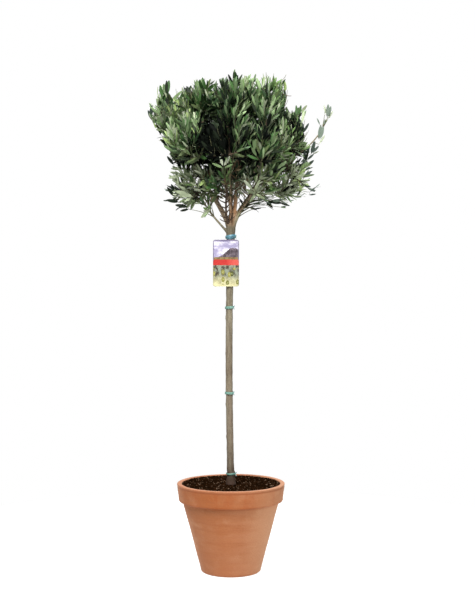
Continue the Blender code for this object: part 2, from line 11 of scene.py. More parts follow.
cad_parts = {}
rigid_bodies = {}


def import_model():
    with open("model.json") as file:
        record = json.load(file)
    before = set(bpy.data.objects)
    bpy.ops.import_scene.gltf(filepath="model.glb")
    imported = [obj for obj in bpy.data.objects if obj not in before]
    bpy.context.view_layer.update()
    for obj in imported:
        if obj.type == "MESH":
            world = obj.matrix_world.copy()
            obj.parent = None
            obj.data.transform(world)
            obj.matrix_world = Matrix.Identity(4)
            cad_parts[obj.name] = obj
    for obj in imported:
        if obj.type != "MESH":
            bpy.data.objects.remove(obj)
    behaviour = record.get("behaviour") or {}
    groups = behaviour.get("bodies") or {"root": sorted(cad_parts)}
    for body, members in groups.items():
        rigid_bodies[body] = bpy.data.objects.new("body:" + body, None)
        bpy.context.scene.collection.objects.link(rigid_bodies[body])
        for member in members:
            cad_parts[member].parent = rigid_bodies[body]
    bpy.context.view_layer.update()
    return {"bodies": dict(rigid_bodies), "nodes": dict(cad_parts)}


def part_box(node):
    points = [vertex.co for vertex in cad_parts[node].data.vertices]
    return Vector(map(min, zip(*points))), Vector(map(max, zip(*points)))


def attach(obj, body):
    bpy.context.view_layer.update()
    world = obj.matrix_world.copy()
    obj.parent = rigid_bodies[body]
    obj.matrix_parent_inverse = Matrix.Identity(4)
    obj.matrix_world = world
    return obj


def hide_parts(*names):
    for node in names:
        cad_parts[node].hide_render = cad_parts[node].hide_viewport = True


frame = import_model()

print("frame loaded:", len(frame["nodes"]), "solids")

view = {
    "place": Vector((0.0184, -2.98, 0.754)),
    "tilt": 90,
    "lens": 64.1,
    "sensor": 36,
    "picture": (475, 600),
}


def pictured(across, down, depth):
    # where a point of the picture, in its own pixels, lies on the plane Y = depth
    pixel = (depth - view["place"].y) * view["sensor"] / view["lens"] / view["picture"][1]
    right, up = across - view["picture"][0] / 2, view["picture"][1] / 2 - down
    return Vector((view["place"].x + right * pixel, depth, view["place"].z + up * pixel))


def inPicture(point):
    # the pixel that shows a point
    pixel = (point.y - view["place"].y) * view["sensor"] / view["lens"] / view["picture"][1]
    across = view["picture"][0] / 2 + (point.x - view["place"].x) / pixel
    return across, view["picture"][1] / 2 - (point.z - view["place"].z) / pixel


def linear(red, green, blue):
    # a colour given as it looks on a screen, 0 to 255, turned into a light value
    shares = [value / 255 for value in (red, green, blue)]
    return tuple(v / 12.92 if v <= 0.04045 else ((v + 0.055) / 1.055) ** 2.4 for v in shares)


def metres(millimetres):
    return [value / 1000 for value in millimetres]


class Value:
    # wraps the output of a node, so that masks and amounts are written as sums
    def __init__(self, nodes, socket):
        self.nodes = nodes
        self.socket = socket

    def maths(self, operation, *values):
        return self.nodes.node("ShaderNodeMath", {"operation": operation}, dict(enumerate(values)))

    def __add__(self, other):
        return self.maths("ADD", self, other)

    def __radd__(self, other):
        return self.maths("ADD", other, self)

    def __sub__(self, other):
        return self.maths("SUBTRACT", self, other)

    def __rsub__(self, other):
        return self.maths("SUBTRACT", other, self)

    def __mul__(self, other):
        return self.maths("MULTIPLY", self, other)

    def __rmul__(self, other):
        return self.maths("MULTIPLY", other, self)

    def __truediv__(self, other):
        return self.maths("DIVIDE", self, other)

    def __gt__(self, other):
        return self.maths("GREATER_THAN", self, other)

    def __lt__(self, other):
        return self.maths("LESS_THAN", self, other)


class Nodes:
    # adds nodes to one tree: a node's type, its settings, then the values or links of its sockets
    def __init__(self, tree):
        self.tree = tree

    def node(self, kind, settings=None, sockets=None, out=0):
        made = self.tree.nodes.new(kind)
        for name, setting in (settings or {}).items():
            if name == "stops":
                self.setStops(made.color_ramp, setting)
            else:
                setattr(made, name, setting)
        for name, value in (sockets or {}).items():
            self.feed(made.inputs[name], value)
        return Value(self, made.outputs[out])

    def feed(self, socket, value):
        if isinstance(value, Value):
            self.tree.links.new(value.socket, socket)
        elif socket.type == "RGBA" and len(value) == 3:
            socket.default_value = (*value, 1)
        else:
            socket.default_value = value

    def setStops(self, ramp, stops):
        while len(ramp.elements) < len(stops):
            ramp.elements.new(1)
        for element, (place, amount) in zip(ramp.elements, stops):
            element.position = place
            element.color = (amount, amount, amount, 1)


class Look(Nodes):
    # one material, read from the piece's own Object coordinates
    def __init__(self, name):
        self.material = bpy.data.materials.new(name)
        self.material.use_nodes = True
        super().__init__(self.material.node_tree)
        self.shader = self.tree.nodes["Principled BSDF"]
        self.place = self.node("ShaderNodeTexCoord", out="Object")

    def set(self, **sockets):
        for name, value in sockets.items():
            self.feed(self.shader.inputs[name.replace("_", " ")], value)
        return self.material

    def axis(self, name):
        return self.node("ShaderNodeSeparateXYZ", None, {0: self.place}, out=name)

    def texture(self, kind, scale, stretch, **sockets):
        place = self.place
        if stretch:
            place = self.node("ShaderNodeMapping", None, {"Vector": place, "Scale": stretch})
        return self.node(kind, None, {"Vector": place, "Scale": scale, **sockets})

    def noise(self, scale, detail=2, stretch=None, roughness=0.5):
        return self.texture("ShaderNodeTexNoise", scale, stretch, Detail=detail, Roughness=roughness)

    def cells(self, scale, stretch=None):
        return self.texture("ShaderNodeTexVoronoi", scale, stretch)

    def ramp(self, value, *stops):
        return self.node("ShaderNodeValToRGB", {"stops": stops}, {0: value})

    def mix(self, amount, first, second):
        return self.node("ShaderNodeMix", {"data_type": "RGBA"}, {0: amount, 6: first, 7: second}, out=2)

    def blend(self, value, low, high, first, second):
        # runs from one screen colour to another as a value rises
        return self.mix(self.ramp(value, (low, 0), (high, 1)), linear(*first), linear(*second))

    def layers(self, colour, *rows):
        # lays screen colours over one another, each with the mask that it shows by
        for mask, seen in rows:
            colour = self.mix(mask, colour, linear(*seen))
        return colour

    def bump(self, height, distance, strength=1):
        sockets = {"Height": height, "Distance": distance, "Strength": strength}
        return self.node("ShaderNodeBump", None, sockets)


class Shape(Nodes):
    # one Geometry Nodes tree with named inputs, ended by Realize Instances and Set Material
    def __init__(self, name, **inputs):
        super().__init__(bpy.data.node_groups.new(name, "GeometryNodeTree"))
        self.sockets = {}
        for label, kind in {"geometry": "NodeSocketGeometry", **inputs}.items():
            made = self.tree.interface.new_socket(label, in_out="INPUT", socket_type=kind)
            self.sockets[label] = made.identifier
        self.tree.interface.new_socket("geometry", in_out="OUTPUT", socket_type="NodeSocketGeometry")
        self.start = self.tree.nodes.new("NodeGroupInput")

    def given(self, label):
        return Value(self, self.start.outputs[label])

    def attribute(self, name, kind="FLOAT"):
        return self.node("GeometryNodeInputNamedAttribute", {"data_type": kind}, {"Name": name})

    def compare(self, value, whole, operation="EQUAL"):
        settings = {"data_type": "INT", "operation": operation}
        return self.node("FunctionNodeCompare", settings, {2: value, 3: whole})

    def random(self, kind, low, high, seed):
        # a value drawn for each element: the first of its sockets and its output go by its kind
        first, out = {"FLOAT_VECTOR": (0, 0), "FLOAT": (2, 1), "INT": (4, 2)}[kind]
        sockets = {first: low, first + 1: high, "Seed": seed}
        return self.node("FunctionNodeRandomValue", {"data_type": kind}, sockets, out)

    def scaled(self, vector, scale):
        return self.node("ShaderNodeVectorMath", {"operation": "SCALE"}, {0: vector, "Scale": scale})

    def end(self, geometry, finishes):
        # finishes are (material, selection) pairs, and None selects everything
        geometry = self.node("GeometryNodeRealizeInstances", None, {0: geometry})
        for material, selection in finishes:
            sockets = {0: geometry, "Material": material}
            if selection:
                sockets["Selection"] = selection
            geometry = self.node("GeometryNodeSetMaterial", None, sockets)
        end = self.tree.nodes.new("NodeGroupOutput")
        self.tree.links.new(geometry.socket, end.inputs[0])

    def applied(self, source, **values):
        # the source's mesh becomes the plain mesh that the tree makes of it
        modifier = source.modifiers.new(self.tree.name, "NODES")
        modifier.node_group = self.tree
        for label, value in values.items():
            modifier[self.sockets[label]] = value
        return plainMesh(source)


def addObject(name, mesh, *materials):
    made = bpy.data.objects.new(name, mesh)
    bpy.context.scene.collection.objects.link(made)
    for material in materials:
        mesh.materials.append(material)
    return made


def plainMesh(source):
    # applies every modifier of an object
    bpy.context.view_layer.update()
    graph = bpy.context.evaluated_depsgraph_get()
    made = source.evaluated_get(graph)
    mesh = bpy.data.meshes.new_from_object(made, preserve_all_data_layers=True, depsgraph=graph)
    source.modifiers.clear()
    source.data = mesh
    return source


def meshOf(name, points, faces=(), edges=()):
    mesh = bpy.data.meshes.new(name)
    mesh.from_pydata([tuple(point) for point in points], edges, faces)
    mesh.update()
    mesh.shade_smooth()
    return mesh


def lineOf(name, *paths):
    # loose lines, one for each path of points
    points = [point for path in paths for point in path]
    edges, start = [], 0
    for path in paths:
        edges += [(i, i + 1) for i in range(start, start + len(path) - 1)]
        start += len(path)
    return meshOf(name, points, (), edges)


def taper(first, last, steps):
    return [first + (last - first) * i / steps for i in range(steps + 1)]


def quads(rings, sides):
    # the faces between rings of points that follow one another
    for low in range(0, (rings - 1) * sides, sides):
        for i in range(sides):
            j = (i + 1) % sides
            yield low + i, low + j, low + sides + j, low + sides + i


def pointValues(mesh, name="co"):
    values = np.empty(len(mesh.vertices) * 3)
    mesh.vertices.foreach_get(name, values)
    return values.reshape(-1, 3)


def movePoints(mesh, places):
    mesh.vertices.foreach_set("co", places.ravel())
    mesh.update()


def addAttribute(mesh, name, kind, values, domain="POINT"):
    made = mesh.attributes.new(name, kind, domain)
    made.data.foreach_set("vector" if kind == "FLOAT_VECTOR" else "value", np.ravel(values))


def dropAttributes(mesh):
    # the attributes that a tree worked with aren't part of the finished piece
    keep = {"position", "sharp_edge", "sharp_face", "material_index", "limbTint"}
    for name in [a.name for a in mesh.attributes if not a.name.startswith(".") and a.name not in keep]:
        mesh.attributes.remove(mesh.attributes[name])


def finishPiece(made, nodes):
    dropAttributes(made.data)
    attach(made, bodyName)
    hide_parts(*nodes)
    print(f"{made.name}: {sum(len(f.vertices) - 2 for f in made.data.polygons)} triangles")


bodyName = next(iter(frame["bodies"]))


# Fired clay pot

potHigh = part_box("pot")[1]
potShape = {
    "height": potHigh[2],
    "rimRadius": potHigh[0],
    "collarFootRadius": 0.1451,
    "collarFootHeight": 0.196,
    "footRadius": 0.082,
    "flare": 0.2637,
    "lip": 0.013,
    "wall": 0.012,
    "floor": 0.016,
    "lipRounding": 0.0026,
    "collarRounding": 0.004,
    "collarInnerRounding": 0.003,
    "footRounding": 0.007,
    "ringSpacing": 0.0035,
    "sides": 240,
    "wobble": 0.0007,         # how far the thrown wall wanders
    "wobbleFrom": 0.02,       # the height where it wanders in full
    "wobbles": ((9, 14, 1), (34, 60, 0.4)),   # scales across and along, and share
    "throwingRidge": 0.00012,
    "ridgesPerMetre": 1450,
    "ridgeWander": (5, 40, 3),
    "flatBelow": 0.0005,      # the underside and the middle of the floor stay flat
    "flatWithin": 0.01,
    "grooveBelowLip": 0.0062,
    "grooveFrom": 0.14,
    "grooveWidth": 0.0016,
    "grooveDepth": 0.0006,
    "chips": 9,
    "chipDepth": 0.0012,
    "chipRadius": 0.0045,
    "seed": 5,
}


def potBodyRadius(height):
    return potShape["footRadius"] + potShape["flare"] * height


def potInnerRadius(height):
    # the inner wall, straight from the lip to the floor
    s = potShape
    top = s["rimRadius"] - s["lip"]
    foot = potBodyRadius(s["floor"]) - s["wall"]
    return foot + (top - foot) * (height - s["floor"]) / (s["height"] - s["floor"])


def arcPoints(x, y, radius, start, end, steps=6):
    turns = [math.radians(turn) for turn in taper(start, end, steps)]
    return [(x + radius * math.cos(a), y + radius * math.sin(a)) for a in turns]


def potProfile():
    # (radius, height) points from the middle of the inner floor, over the lip and down to the foot
    s = potShape
    lip, collar, foot, under = s["lipRounding"], s["collarRounding"], s["footRounding"], s["collarFootHeight"]
    top, inner = s["height"] - lip, s["collarInnerRounding"]
    arcs = (
        (s["rimRadius"] - s["lip"] + lip, top, lip, 180, 90),
        (s["rimRadius"] - lip, top, lip, 90, 0),
        (s["collarFootRadius"] - collar, under + collar, collar, 0, -90),
        (potBodyRadius(under) + inner, under - inner, inner, 90, 180, 4),
        (potBodyRadius(foot) - foot, foot, foot, 0, -90),
    )
    corners = [(0, s["floor"]), (potInnerRadius(s["floor"]), s["floor"])]
    corners += [point for arc in arcs for point in arcPoints(*arc)] + [(0, 0)]
    points = [corners[0]]
    for before, after in zip(corners, corners[1:]):
        steps = max(1, round(math.dist(before, after) / s["ringSpacing"]))
        points += [*zip(taper(before[0], after[0], steps), taper(before[1], after[1], steps))][1:]
    return points


def lathe(name, profile, sides):
    # turns a profile, whose ends lie on the axis, into a closed mesh
    middle = profile[1:-1]
    points = [(0, 0, profile[0][1])]
    for radius, height in middle:
        for i in range(sides):
            turn = math.tau * i / sides
            points.append((radius * math.cos(turn), radius * math.sin(turn), height))
    points.append((0, 0, profile[-1][1]))
    last = len(points) - 1
    faces = []
    for i in range(sides):
        j = (i + 1) % sides
        faces.append((0, 1 + i, 1 + j))
        for ring in range(len(middle) - 1):
            low, high = 1 + ring * sides, 1 + (ring + 1) * sides
            faces.append((low + i, high + i, high + j, low + j))
        foot = 1 + (len(middle) - 1) * sides
        faces.append((last, foot + j, foot + i))
    return meshOf(name, points, faces)


def buildPot(clay):
    s = potShape
    mesh = lathe("pot", potProfile(), s["sides"])
    places, normals = pointValues(mesh), pointValues(mesh, "normal")
    draw = random.Random(s["seed"])
    collarFoot = (s["collarFootRadius"], s["collarFootHeight"])
    edges = ((s["rimRadius"], s["height"]), collarFoot, (s["footRadius"], 0))
    chips = []
    for _ in range(s["chips"]):
        turn = draw.uniform(0, math.tau)
        radius, height = draw.choice(edges)
        chips.append((radius * math.cos(turn), radius * math.sin(turn), height))
    for i, (x, y, z) in enumerate(places):
        if z < s["flatBelow"] or math.hypot(x, y) < s["flatWithin"]:
            continue
        wander = sum(share * noise.noise((x * a, y * a, z * b)) for a, b, share in s["wobbles"])
        across, along, share = s["ridgeWander"]
        wave = share * noise.noise((x * across, y * across, z * along))
        ridge = math.sin(z * s["ridgesPerMetre"] + wave)
        move = s["wobble"] * wander * min(1, z / s["wobbleFrom"]) + s["throwingRidge"] * ridge
        if math.hypot(x, y) > s["grooveFrom"]:
            fromGroove = (s["height"] - s["grooveBelowLip"] - z) / s["grooveWidth"]
            move -= s["grooveDepth"] * math.exp(-(fromGroove**2))
        for chip in chips:
            move -= math.exp(-(math.dist((x, y, z), chip) / s["chipRadius"]) ** 2) * s["chipDepth"]
        places[i] += normals[i] * move
    places[:, 2] = np.maximum(places[:, 2], 0)
    movePoints(mesh, places)
    finishPiece(addObject("clayPot", mesh, clay), ["pot"])


def clayLook():
    look = Look("firedClay")
    height = look.axis("Z")
    cloud = look.noise(7, 4, (1, 1, 0.55))
    patch = look.noise(17, 5, (1, 1, 1.6), 0.6)
    streak = look.noise(4, 5, (1, 1, 9), 0.65)
    drip = look.noise(30, 4, (1, 1, 0.3), 0.6)
    grain = look.noise(520, 3)
    collar = look.ramp(height, (0.193, 0), (0.199, 1))
    # painted light: the +X side of the pot is paler, as if lit from that side
    paintedLightSide = look.ramp(look.axis("X") + cloud * 0.08, (0.08, 0), (0.14, 0.55))
    # painted shade: a dark orange band in the cove under the collar
    under = look.ramp(height, (0.1905, 0), (0.1945, 0.6), (0.198, 0.5), (0.201, 0))
    body = look.layers(
        look.blend(cloud, 0.34, 0.66, (150, 90, 52), (158, 106, 74)),
        (look.ramp(patch, (0.5, 0), (0.72, 0.6)), (172, 126, 94)),
        (look.ramp(streak, (0.5, 0), (0.68, 0.55)), (140, 80, 44)),
        # painted shade: the body darker towards the foot
        (look.ramp(height, (0.04, 0.4), (0.15, 0)), (140, 84, 52)),
        (collar * look.ramp(patch, (0.3, 0.85), (0.7, 0.3)), (140, 78, 38)),
        (collar * look.ramp(drip, (0.48, 0), (0.66, 0.5)), (140, 66, 26)),
        (paintedLightSide * (1 - collar * 0.45), (184, 140, 106)),
        # painted shade under the collar
        (under * look.ramp(cloud, (0.3, 1), (0.6, 0.6)), (138, 58, 8)),
        (look.ramp(height, (0.2362, 0), (0.2385, 0.8), (0.24, 0)), (122, 64, 34)),      # painted shade in the groove
        (look.ramp(height, (0.2412, 0), (0.244, 0.6)), (158, 116, 92)),                 # painted highlight along the lip
        (look.ramp(grain, (0.35, 0.22), (0.6, 0)), (116, 62, 36)),
        (look.ramp(look.cells(260), (0.04, 0.4), (0.14, 0)), (194, 152, 120)),
    )
    rough = look.ramp(cloud + patch * 0.4, (0.5, 0.8), (0.9, 0.95))
    relief = grain * 0.6 + look.noise(150, 4) * 0.9 + look.noise(60, 2, (0.4, 0.4, 7)) * 0.8
    look.set(Sheen_Weight=0.2, Sheen_Roughness=0.4, Sheen_Tint=(1, 0.78, 0.56), Specular_IOR_Level=0.2)
    return look.set(Base_Color=body, Roughness=rough, Normal=look.bump(relief, 0.0006, 0.65))


# Compost and its crumbs

compost = {
    "height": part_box("soil")[1][2],
    "edgeRise": 0.0028,       # it is pressed up against the wall
    "middleDrop": 0.0008,
    "play": 0.0004,           # between the compost and the pot
    "wallPlay": 0.0006,
    "wallRings": 8,
    "skin": 0.006,            # how deep the lumpy top reaches, and how far from the wall its lumps are full
    "lumpsFrom": 0.01,
    "lump": 0.0022,
    "lumpScales": ((60, 2, 1), (150, 5, 0.6)),
    "fineLump": (330, 8, 0.5),
    "rings": 52,
    "sides": 160,
    "crumbsPerSquareMetre": 62000.0,
    "crumbSizes": (0.0007, 0.0024),
    "crumbSquash": ((0.6, 0.6, 0.5), (1.5, 1.2, 1)),
    "crumbRoughness": (1.7, 1.3),   # its scale and its size
    "crumbKinds": (0, 9),     # the lowest and highest number drawn: above 6 is warm, and 9 is fibre
    "warmAbove": 6,
    "seed": 11,
}


def compostSurface(radius, reach):
    share = radius / reach
    return compost["height"] + compost["edgeRise"] * share**2 - compost["middleDrop"] * (1 - share)


def buildCompost(dark, warm, fibre):
    s = compost
    edge = s["height"] + s["edgeRise"]
    reach = potInnerRadius(edge) - s["play"]
    floor = potShape["floor"] + s["play"]
    radii = [reach * i / s["rings"] for i in range(s["rings"] + 1)]
    outer = [(radius, compostSurface(radius, reach)) for radius in radii]
    rings = np.linspace(edge - s["skin"], floor, s["wallRings"])
    wall = [(potInnerRadius(height) - s["wallPlay"], height) for height in rings]
    mesh = lathe("compost", outer + wall + [(0, floor)], s["sides"])
    places = pointValues(mesh)
    fine, fineAt, fineSize = s["fineLump"]
    for i, (x, y, z) in enumerate(places):
        radius = math.hypot(x, y)
        if z > edge - s["skin"] and radius < reach - 0.001:
            lump = sum(size * noise.noise((x * scale, y * scale, at)) for scale, at, size in s["lumpScales"])
            lump += fineSize * abs(noise.noise((x * fine, y * fine, fineAt)))
            places[i][2] += s["lump"] * (lump - 0.5) * min(1, (reach - radius) / s["lumpsFrom"])
    movePoints(mesh, places)
    finishPiece(addObject("compostBed", mesh, dark), ["soil"])
    top = [tuple(f.vertices) for f in mesh.polygons if f.center.z > edge - 0.008 and f.normal.z > 0.3]
    crumbs = addObject("compostCrumbs", meshOf("crumbField", pointValues(mesh), top))
    scatterCrumbs(dark, warm, fibre).applied(
        crumbs, density=s["crumbsPerSquareMetre"], smallest=s["crumbSizes"][0], largest=s["crumbSizes"][1]
    )
    finishPiece(crumbs, ["soil"])


def scatterCrumbs(dark, warm, fibre):
    # strews rough crumbs of three kinds over the compost's surface
    s, seed = compost, compost["seed"]
    inputs = dict.fromkeys(("density", "smallest", "largest"), "NodeSocketFloat")
    tree = Shape("scatterCrumbs", **inputs)
    strewn = {0: tree.given("geometry"), "Density": tree.given("density"), "Seed": seed}
    spots = tree.node("GeometryNodeDistributePointsOnFaces", {"distribute_method": "RANDOM"}, strewn)
    size = tree.random("FLOAT", tree.given("smallest"), tree.given("largest"), seed + 1)
    squash = tree.random("FLOAT_VECTOR", *s["crumbSquash"], seed + 2)
    turn = tree.random("FLOAT_VECTOR", (0, 0, 0), (math.tau,) * 3, seed + 3)
    kind = tree.random("INT", *s["crumbKinds"], seed + 4)
    scale = tree.scaled(squash, size)
    crumb = tree.node("GeometryNodeMeshIcoSphere", None, {"Radius": 1, "Subdivisions": 1})
    roughScale, roughSize = s["crumbRoughness"]
    rough = tree.node("ShaderNodeTexNoise", None, {"Scale": roughScale}, out=1)
    centred = tree.node("ShaderNodeVectorMath", {"operation": "SUBTRACT"}, {0: rough, 1: (0.5, 0.5, 0.5)})
    crumb = tree.node("GeometryNodeSetPosition", None, {0: crumb, "Offset": tree.scaled(centred, roughSize)})
    crumbs = {0: spots, "Instance": crumb, "Rotation": turn, "Scale": scale}
    placed = tree.node("GeometryNodeInstanceOnPoints", None, crumbs)
    store = {"data_type": "INT", "domain": "INSTANCE"}
    placed = tree.node("GeometryNodeStoreNamedAttribute", store, {0: placed, "Name": "kind", 3: kind})
    drawn = tree.attribute("kind", "INT")
    warmOnes = tree.compare(drawn, s["warmAbove"], "GREATER_THAN")
    tree.end(placed, [(dark, None), (warm, warmOnes), (fibre, tree.compare(drawn, s["crumbKinds"][1]))])
    return tree


def compostLook(name, deep, pale, bumpDepth):
    look = Look(name)
    lump = look.noise(90, 5, None, 0.65)
    fine = look.noise(420, 4)
    colour = look.blend(lump + fine * 0.5 - 0.25, 0.35, 0.7, deep, pale)
    normal = look.bump(lump * 0.6 + fine, bumpDepth)
    return look.set(Base_Color=colour, Roughness=1, Normal=normal, Specular_IOR_Level=0)


# Limbs, placed by the same rule as the solids

trunkRule = {
    "foot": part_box("trunk")[0][2],
    "fork": 0.966,
    "radius": 0.0098,
    "footSwell": 0.005,
    "footSwellHeight": 0.018,
    "neckSwell": 0.0038,
    "neckSwellHeight": 0.05,
    "bow": 0.005,
    "rings": 14,
    "ringCrowding": 1.15,
}

# each bough: the limb that it leaves, how far along that, and its radius at its root and tip
boughRule = {
    "left": ("trunk", 0.985, 0.0074, 0.0034),
    "right": ("trunk", 0.985, 0.0078, 0.0034),
    "centre": ("trunk", 0.99, 0.0066, 0.003),
    "back": ("trunk", 0.98, 0.0066, 0.0032),
    "front": ("trunk", 0.975, 0.0034, 0.0022),
    "left_low": ("trunk", 0.96, 0.0034, 0.0022),
    "left_front": ("left", 0.55, 0.0036, 0.0024),
    "left_top": ("left", 0.7, 0.0036, 0.0024),
    "left_back": ("left", 0.45, 0.0038, 0.0024),
    "right_top": ("right", 0.62, 0.0038, 0.0024),
    "right_front": ("right", 0.42, 0.0038, 0.0024),
    "right_low": ("right", 0.52, 0.0038, 0.0024),
    "right_spray": ("right", 0.6, 0.0026, 0.0018),
    "right_skirt": ("right", 0.16, 0.003, 0.0019),
    "front_low": ("front", 0.3, 0.0026, 0.0018),
    "back_top": ("back", 0.62, 0.0036, 0.0024),
    "back_right": ("back", 0.5, 0.0036, 0.0024),
}

# how far a bough bows aside near its root
boughBows = {
    "left": (-0.013, 0, 0),
    "left_low": (-0.014, 0, -0.006),
    "centre": (0.024, 0, 0),
}

# each mass of foliage, in millimetres: its bough, its middle, its reach along X, Y and Z, how far its
# leading shoot stands out, and its number of twigs
massRule = {
    "left_upper": ("left", (-172, -5, 1276), (56, 70, 72), 4, 10),
    "left_front": ("left_front", (-108, -84, 1190), (70, 70, 74), 0, 11),
    "left_top": ("left_top", (-82, -30, 1300), (68, 78, 54), 0, 10),
    "left_back": ("left_back", (-110, 98, 1216), (78, 70, 84), 0, 11),
    "left_low": ("left_low", (-104, -20, 1078), (64, 76, 56), 0, 9),
    "top": ("centre", (10, -70, 1298), (68, 74, 60), 6, 11),
    "front": ("front", (-4, -118, 1180), (72, 62, 78), 0, 11),
    "front_low": ("front_low", (-18, -62, 1084), (60, 60, 50), 0, 8),
    "right_top": ("right_top", (106, -20, 1300), (68, 80, 60), 0, 10),
    "right_upper": ("right", (170, -5, 1220), (58, 84, 68), 0, 10),
    "right_front": ("right_front", (92, -108, 1180), (70, 64, 74), 0, 11),
    "right_low": ("right_low", (146, 0, 1100), (72, 80, 60), 0, 10),
    "right_spray": ("right_spray", (252, 0, 1222), (12, 20, 80), 0, 5),
    "right_skirt": ("right_skirt", (72, -60, 1070), (58, 58, 42), 0, 8),
    "back_top": ("back_top", (14, 88, 1300), (86, 76, 62), 0, 11),
    "back": ("back", (0, 114, 1160), (76, 66, 86), 0, 11),
    "back_right": ("back_right", (122, 100, 1206), (76, 70, 86), 0, 11),
}

growthRule = {
    "seed": 17,
    "heart": Vector((0.01, 0, 1.13)),
    "boughRise": 0.55,
    "bowAtTip": 0.4,
    "boughSteps": 7,
    "boughTipDepth": 0.6,
    "stemTipRadius": 0.0017,
    "stemLeans": ((0, 0), (0, -1), (0, 1), (1, 0), (-1, 0), (0, -2), (0, 2), (2, 0), (-2, 0)),
    "stemLength": 0.82,
    "stemRise": 1.2,
    "stemSteps": 4,
    "twigRootRadius": 0.0021,
    "twigLeastLength": 0.018,
    "twigTipDepth": 0.45,
    "twigWallRoom": 0.009,
    "twigDraws": 60,
    "twigRoots": 12,
    "twigForks": (0.35, 0.6, 0.85),
    "gap": 0.0003,
}


def curve(a, b, c, d, steps):
    # points along a cubic curve
    points = []
    for i in range(steps + 1):
        t = i / steps
        s = 1 - t
        points.append(s**3 * a + 3 * s * s * t * b + 3 * s * t * t * c + t**3 * d)
    return points


def depthIn(point, middle, reach):
    # 0 in the middle of an oval space and 1 at its edge
    return math.sqrt(sum(((point[k] - middle[k]) / reach[k]) ** 2 for k in range(3)))


class Limb:
    # the points of a limb's axis and the radius at each
    def __init__(self, points, radii, handles=None):
        self.points = points
        self.radii = radii
        self.handles = handles

    def at(self, share):
        place = max(0, min(share, 1)) * (len(self.points) - 1)
        i = min(int(place), len(self.points) - 2)
        part = place - i
        point = self.points[i].lerp(self.points[i + 1], part)
        direction = (self.points[i + 1] - self.points[i]).normalized()
        return point, direction, self.radii[i] + (self.radii[i + 1] - self.radii[i]) * part

    def length(self):
        return sum((b - a).length for a, b in zip(self.points, self.points[1:]))

    def walked(self):
        # how far along the limb each point is
        total = 0
        for i, point in enumerate(self.points):
            total += (point - self.points[i - 1]).length if i else 0
            yield total

    def segments(self):
        for i in range(len(self.points) - 1):
            yield self.points[i], self.points[i + 1], max(self.radii[i], self.radii[i + 1])

    def finer(self, spacing):
        # the same limb with more points along its curve
        steps = max(4, round(self.length() / spacing))
        if self.handles:
            return Limb(curve(*self.handles, steps), taper(self.radii[0], self.radii[-1], steps))
        rows = [self.at(i / steps) for i in range(steps + 1)]
        return Limb([row[0] for row in rows], [row[2] for row in rows])


def bentLimb(root, leave, tip, arrive, rootRadius, tipRadius, steps, bow=Vector((0, 0, 0))):
    # a limb that leaves its root one way and arrives at its tip another way
    handle = (tip - root).length / 3
    handles = (root, root + leave * handle + bow, tip - arrive * handle + bow * growthRule["bowAtTip"], tip)
    return Limb(curve(*handles, steps), taper(rootRadius, tipRadius, steps), handles)


def trunkLimb(rings):
    s = trunkRule
    length = s["fork"] - s["foot"]
    points, radii = [], []
    for i in range(rings + 1):
        share = (i / rings) ** s["ringCrowding"]
        above = share * length
        bow = s["bow"] * math.sin(math.pi * share) if i * s["rings"] > rings else 0
        points.append(Vector((-bow, 0, s["foot"] + above)))
        flare = s["footSwell"] * math.exp(-above / s["footSwellHeight"])
        neck = s["neckSwell"] * math.exp(-(((length - above) / s["neckSwellHeight"]) ** 2))
        radii.append(s["radius"] + flare + neck)
    return Limb(points, radii)


def boughLimb(name, parent, middle, reach):
    # a bough leaves its parent the way that the parent points, and bends up into its mass
    s = growthRule
    _, share, *radii = boughRule[name]
    root, along, _ = parent.at(share)
    inward = (root - middle).normalized()
    tip = middle + inward * (1 / depthIn(inward, (0, 0, 0), reach)) * s["boughTipDepth"]
    chord = (tip - root).normalized()
    leave = (along * s["boughRise"] + chord).normalized()
    arrive = (chord + Vector((0, 0, s["boughRise"]))).normalized()
    return bentLimb(root, leave, tip, arrive, *radii, s["boughSteps"], Vector(boughBows.get(name, (0, 0, 0))))


def growLimbs():
    limbs = {"trunk": trunkLimb(trunkRule["rings"])}
    carried = {row[0]: [Vector(metres(part)) for part in row[1:3]] for row in massRule.values()}
    for name, (parent, *_) in boughRule.items():
        limbs[name] = boughLimb(name, limbs[parent], *carried[name])
    return limbs


def segmentDistance(a, b, c, d):
    # the least distance between the stretches a-b and c-d
    u, v, w = b - a, d - c, a - c
    uu, uv, vv, uw, vw = u.dot(u), u.dot(v), v.dot(v), u.dot(w), v.dot(w)
    det = uu * vv - uv * uv
    s = max(0, min(1, (uv * vw - vv * uw) / det)) if det > 1e-12 else 0
    t = max(0, min(1, (uv * s + vw) / vv)) if vv > 0 else 0
    s = max(0, min(1, (uv * t - uw) / uu)) if uu > 0 else 0
    return ((a + u * s) - (c + v * t)).length


def clearOf(limbs, a, b, room):
    return all(
        segmentDistance(a, b, c, d) > radius + room for limb in limbs for c, d, radius in limb.segments()
    )


def mainOf(bough):
    # the bough of the trunk that a lesser bough hangs on
    while boughRule[bough][0] != "trunk":
        bough = boughRule[bough][0]
    return bough


def solidNames(kind, names):
    return [name if name == "trunk" else f"{kind}_{name}" for name in names]


# Bark: the trunk and the main boughs fused into one skin, and the lesser boughs

barkShape = {
    "voxel": 0.00125,
    "smoothing": 6,
    "trunkRings": 240,
    "trunkSides": 28,
    "mainSides": 18,
    "lesserSides": 16,
    "mainRings": (0.0025, 0.012),      # the spacing of a bough's rings, and how far its swelling stays full
    "lesserRings": (0.003, 0.004),
    "collarSwell": 0.45,      # how much a bough thickens where it leaves its parent
    "collarLength": 0.011,
    "fissure": 0.00032,
    "lump": 0.00065,
    # the relief's scales across, along and beside the limb: fissures, fine lines, lumps
    "grain": ((420, 42, 420), (900, 160, 900), (90, 55, 0)),
    "fineShare": 0.35,
    "fullReliefRadius": 0.008,
    "knotEvery": 0.032,
    "knotHeight": 0.0015,
    "knotRadius": 0.0044,
    "knotDip": 0.75,
    "knotDipRadius": 0.42,
    "seed": 23,
    "blend": 26,              # how far the limbs' tints run into each other
}

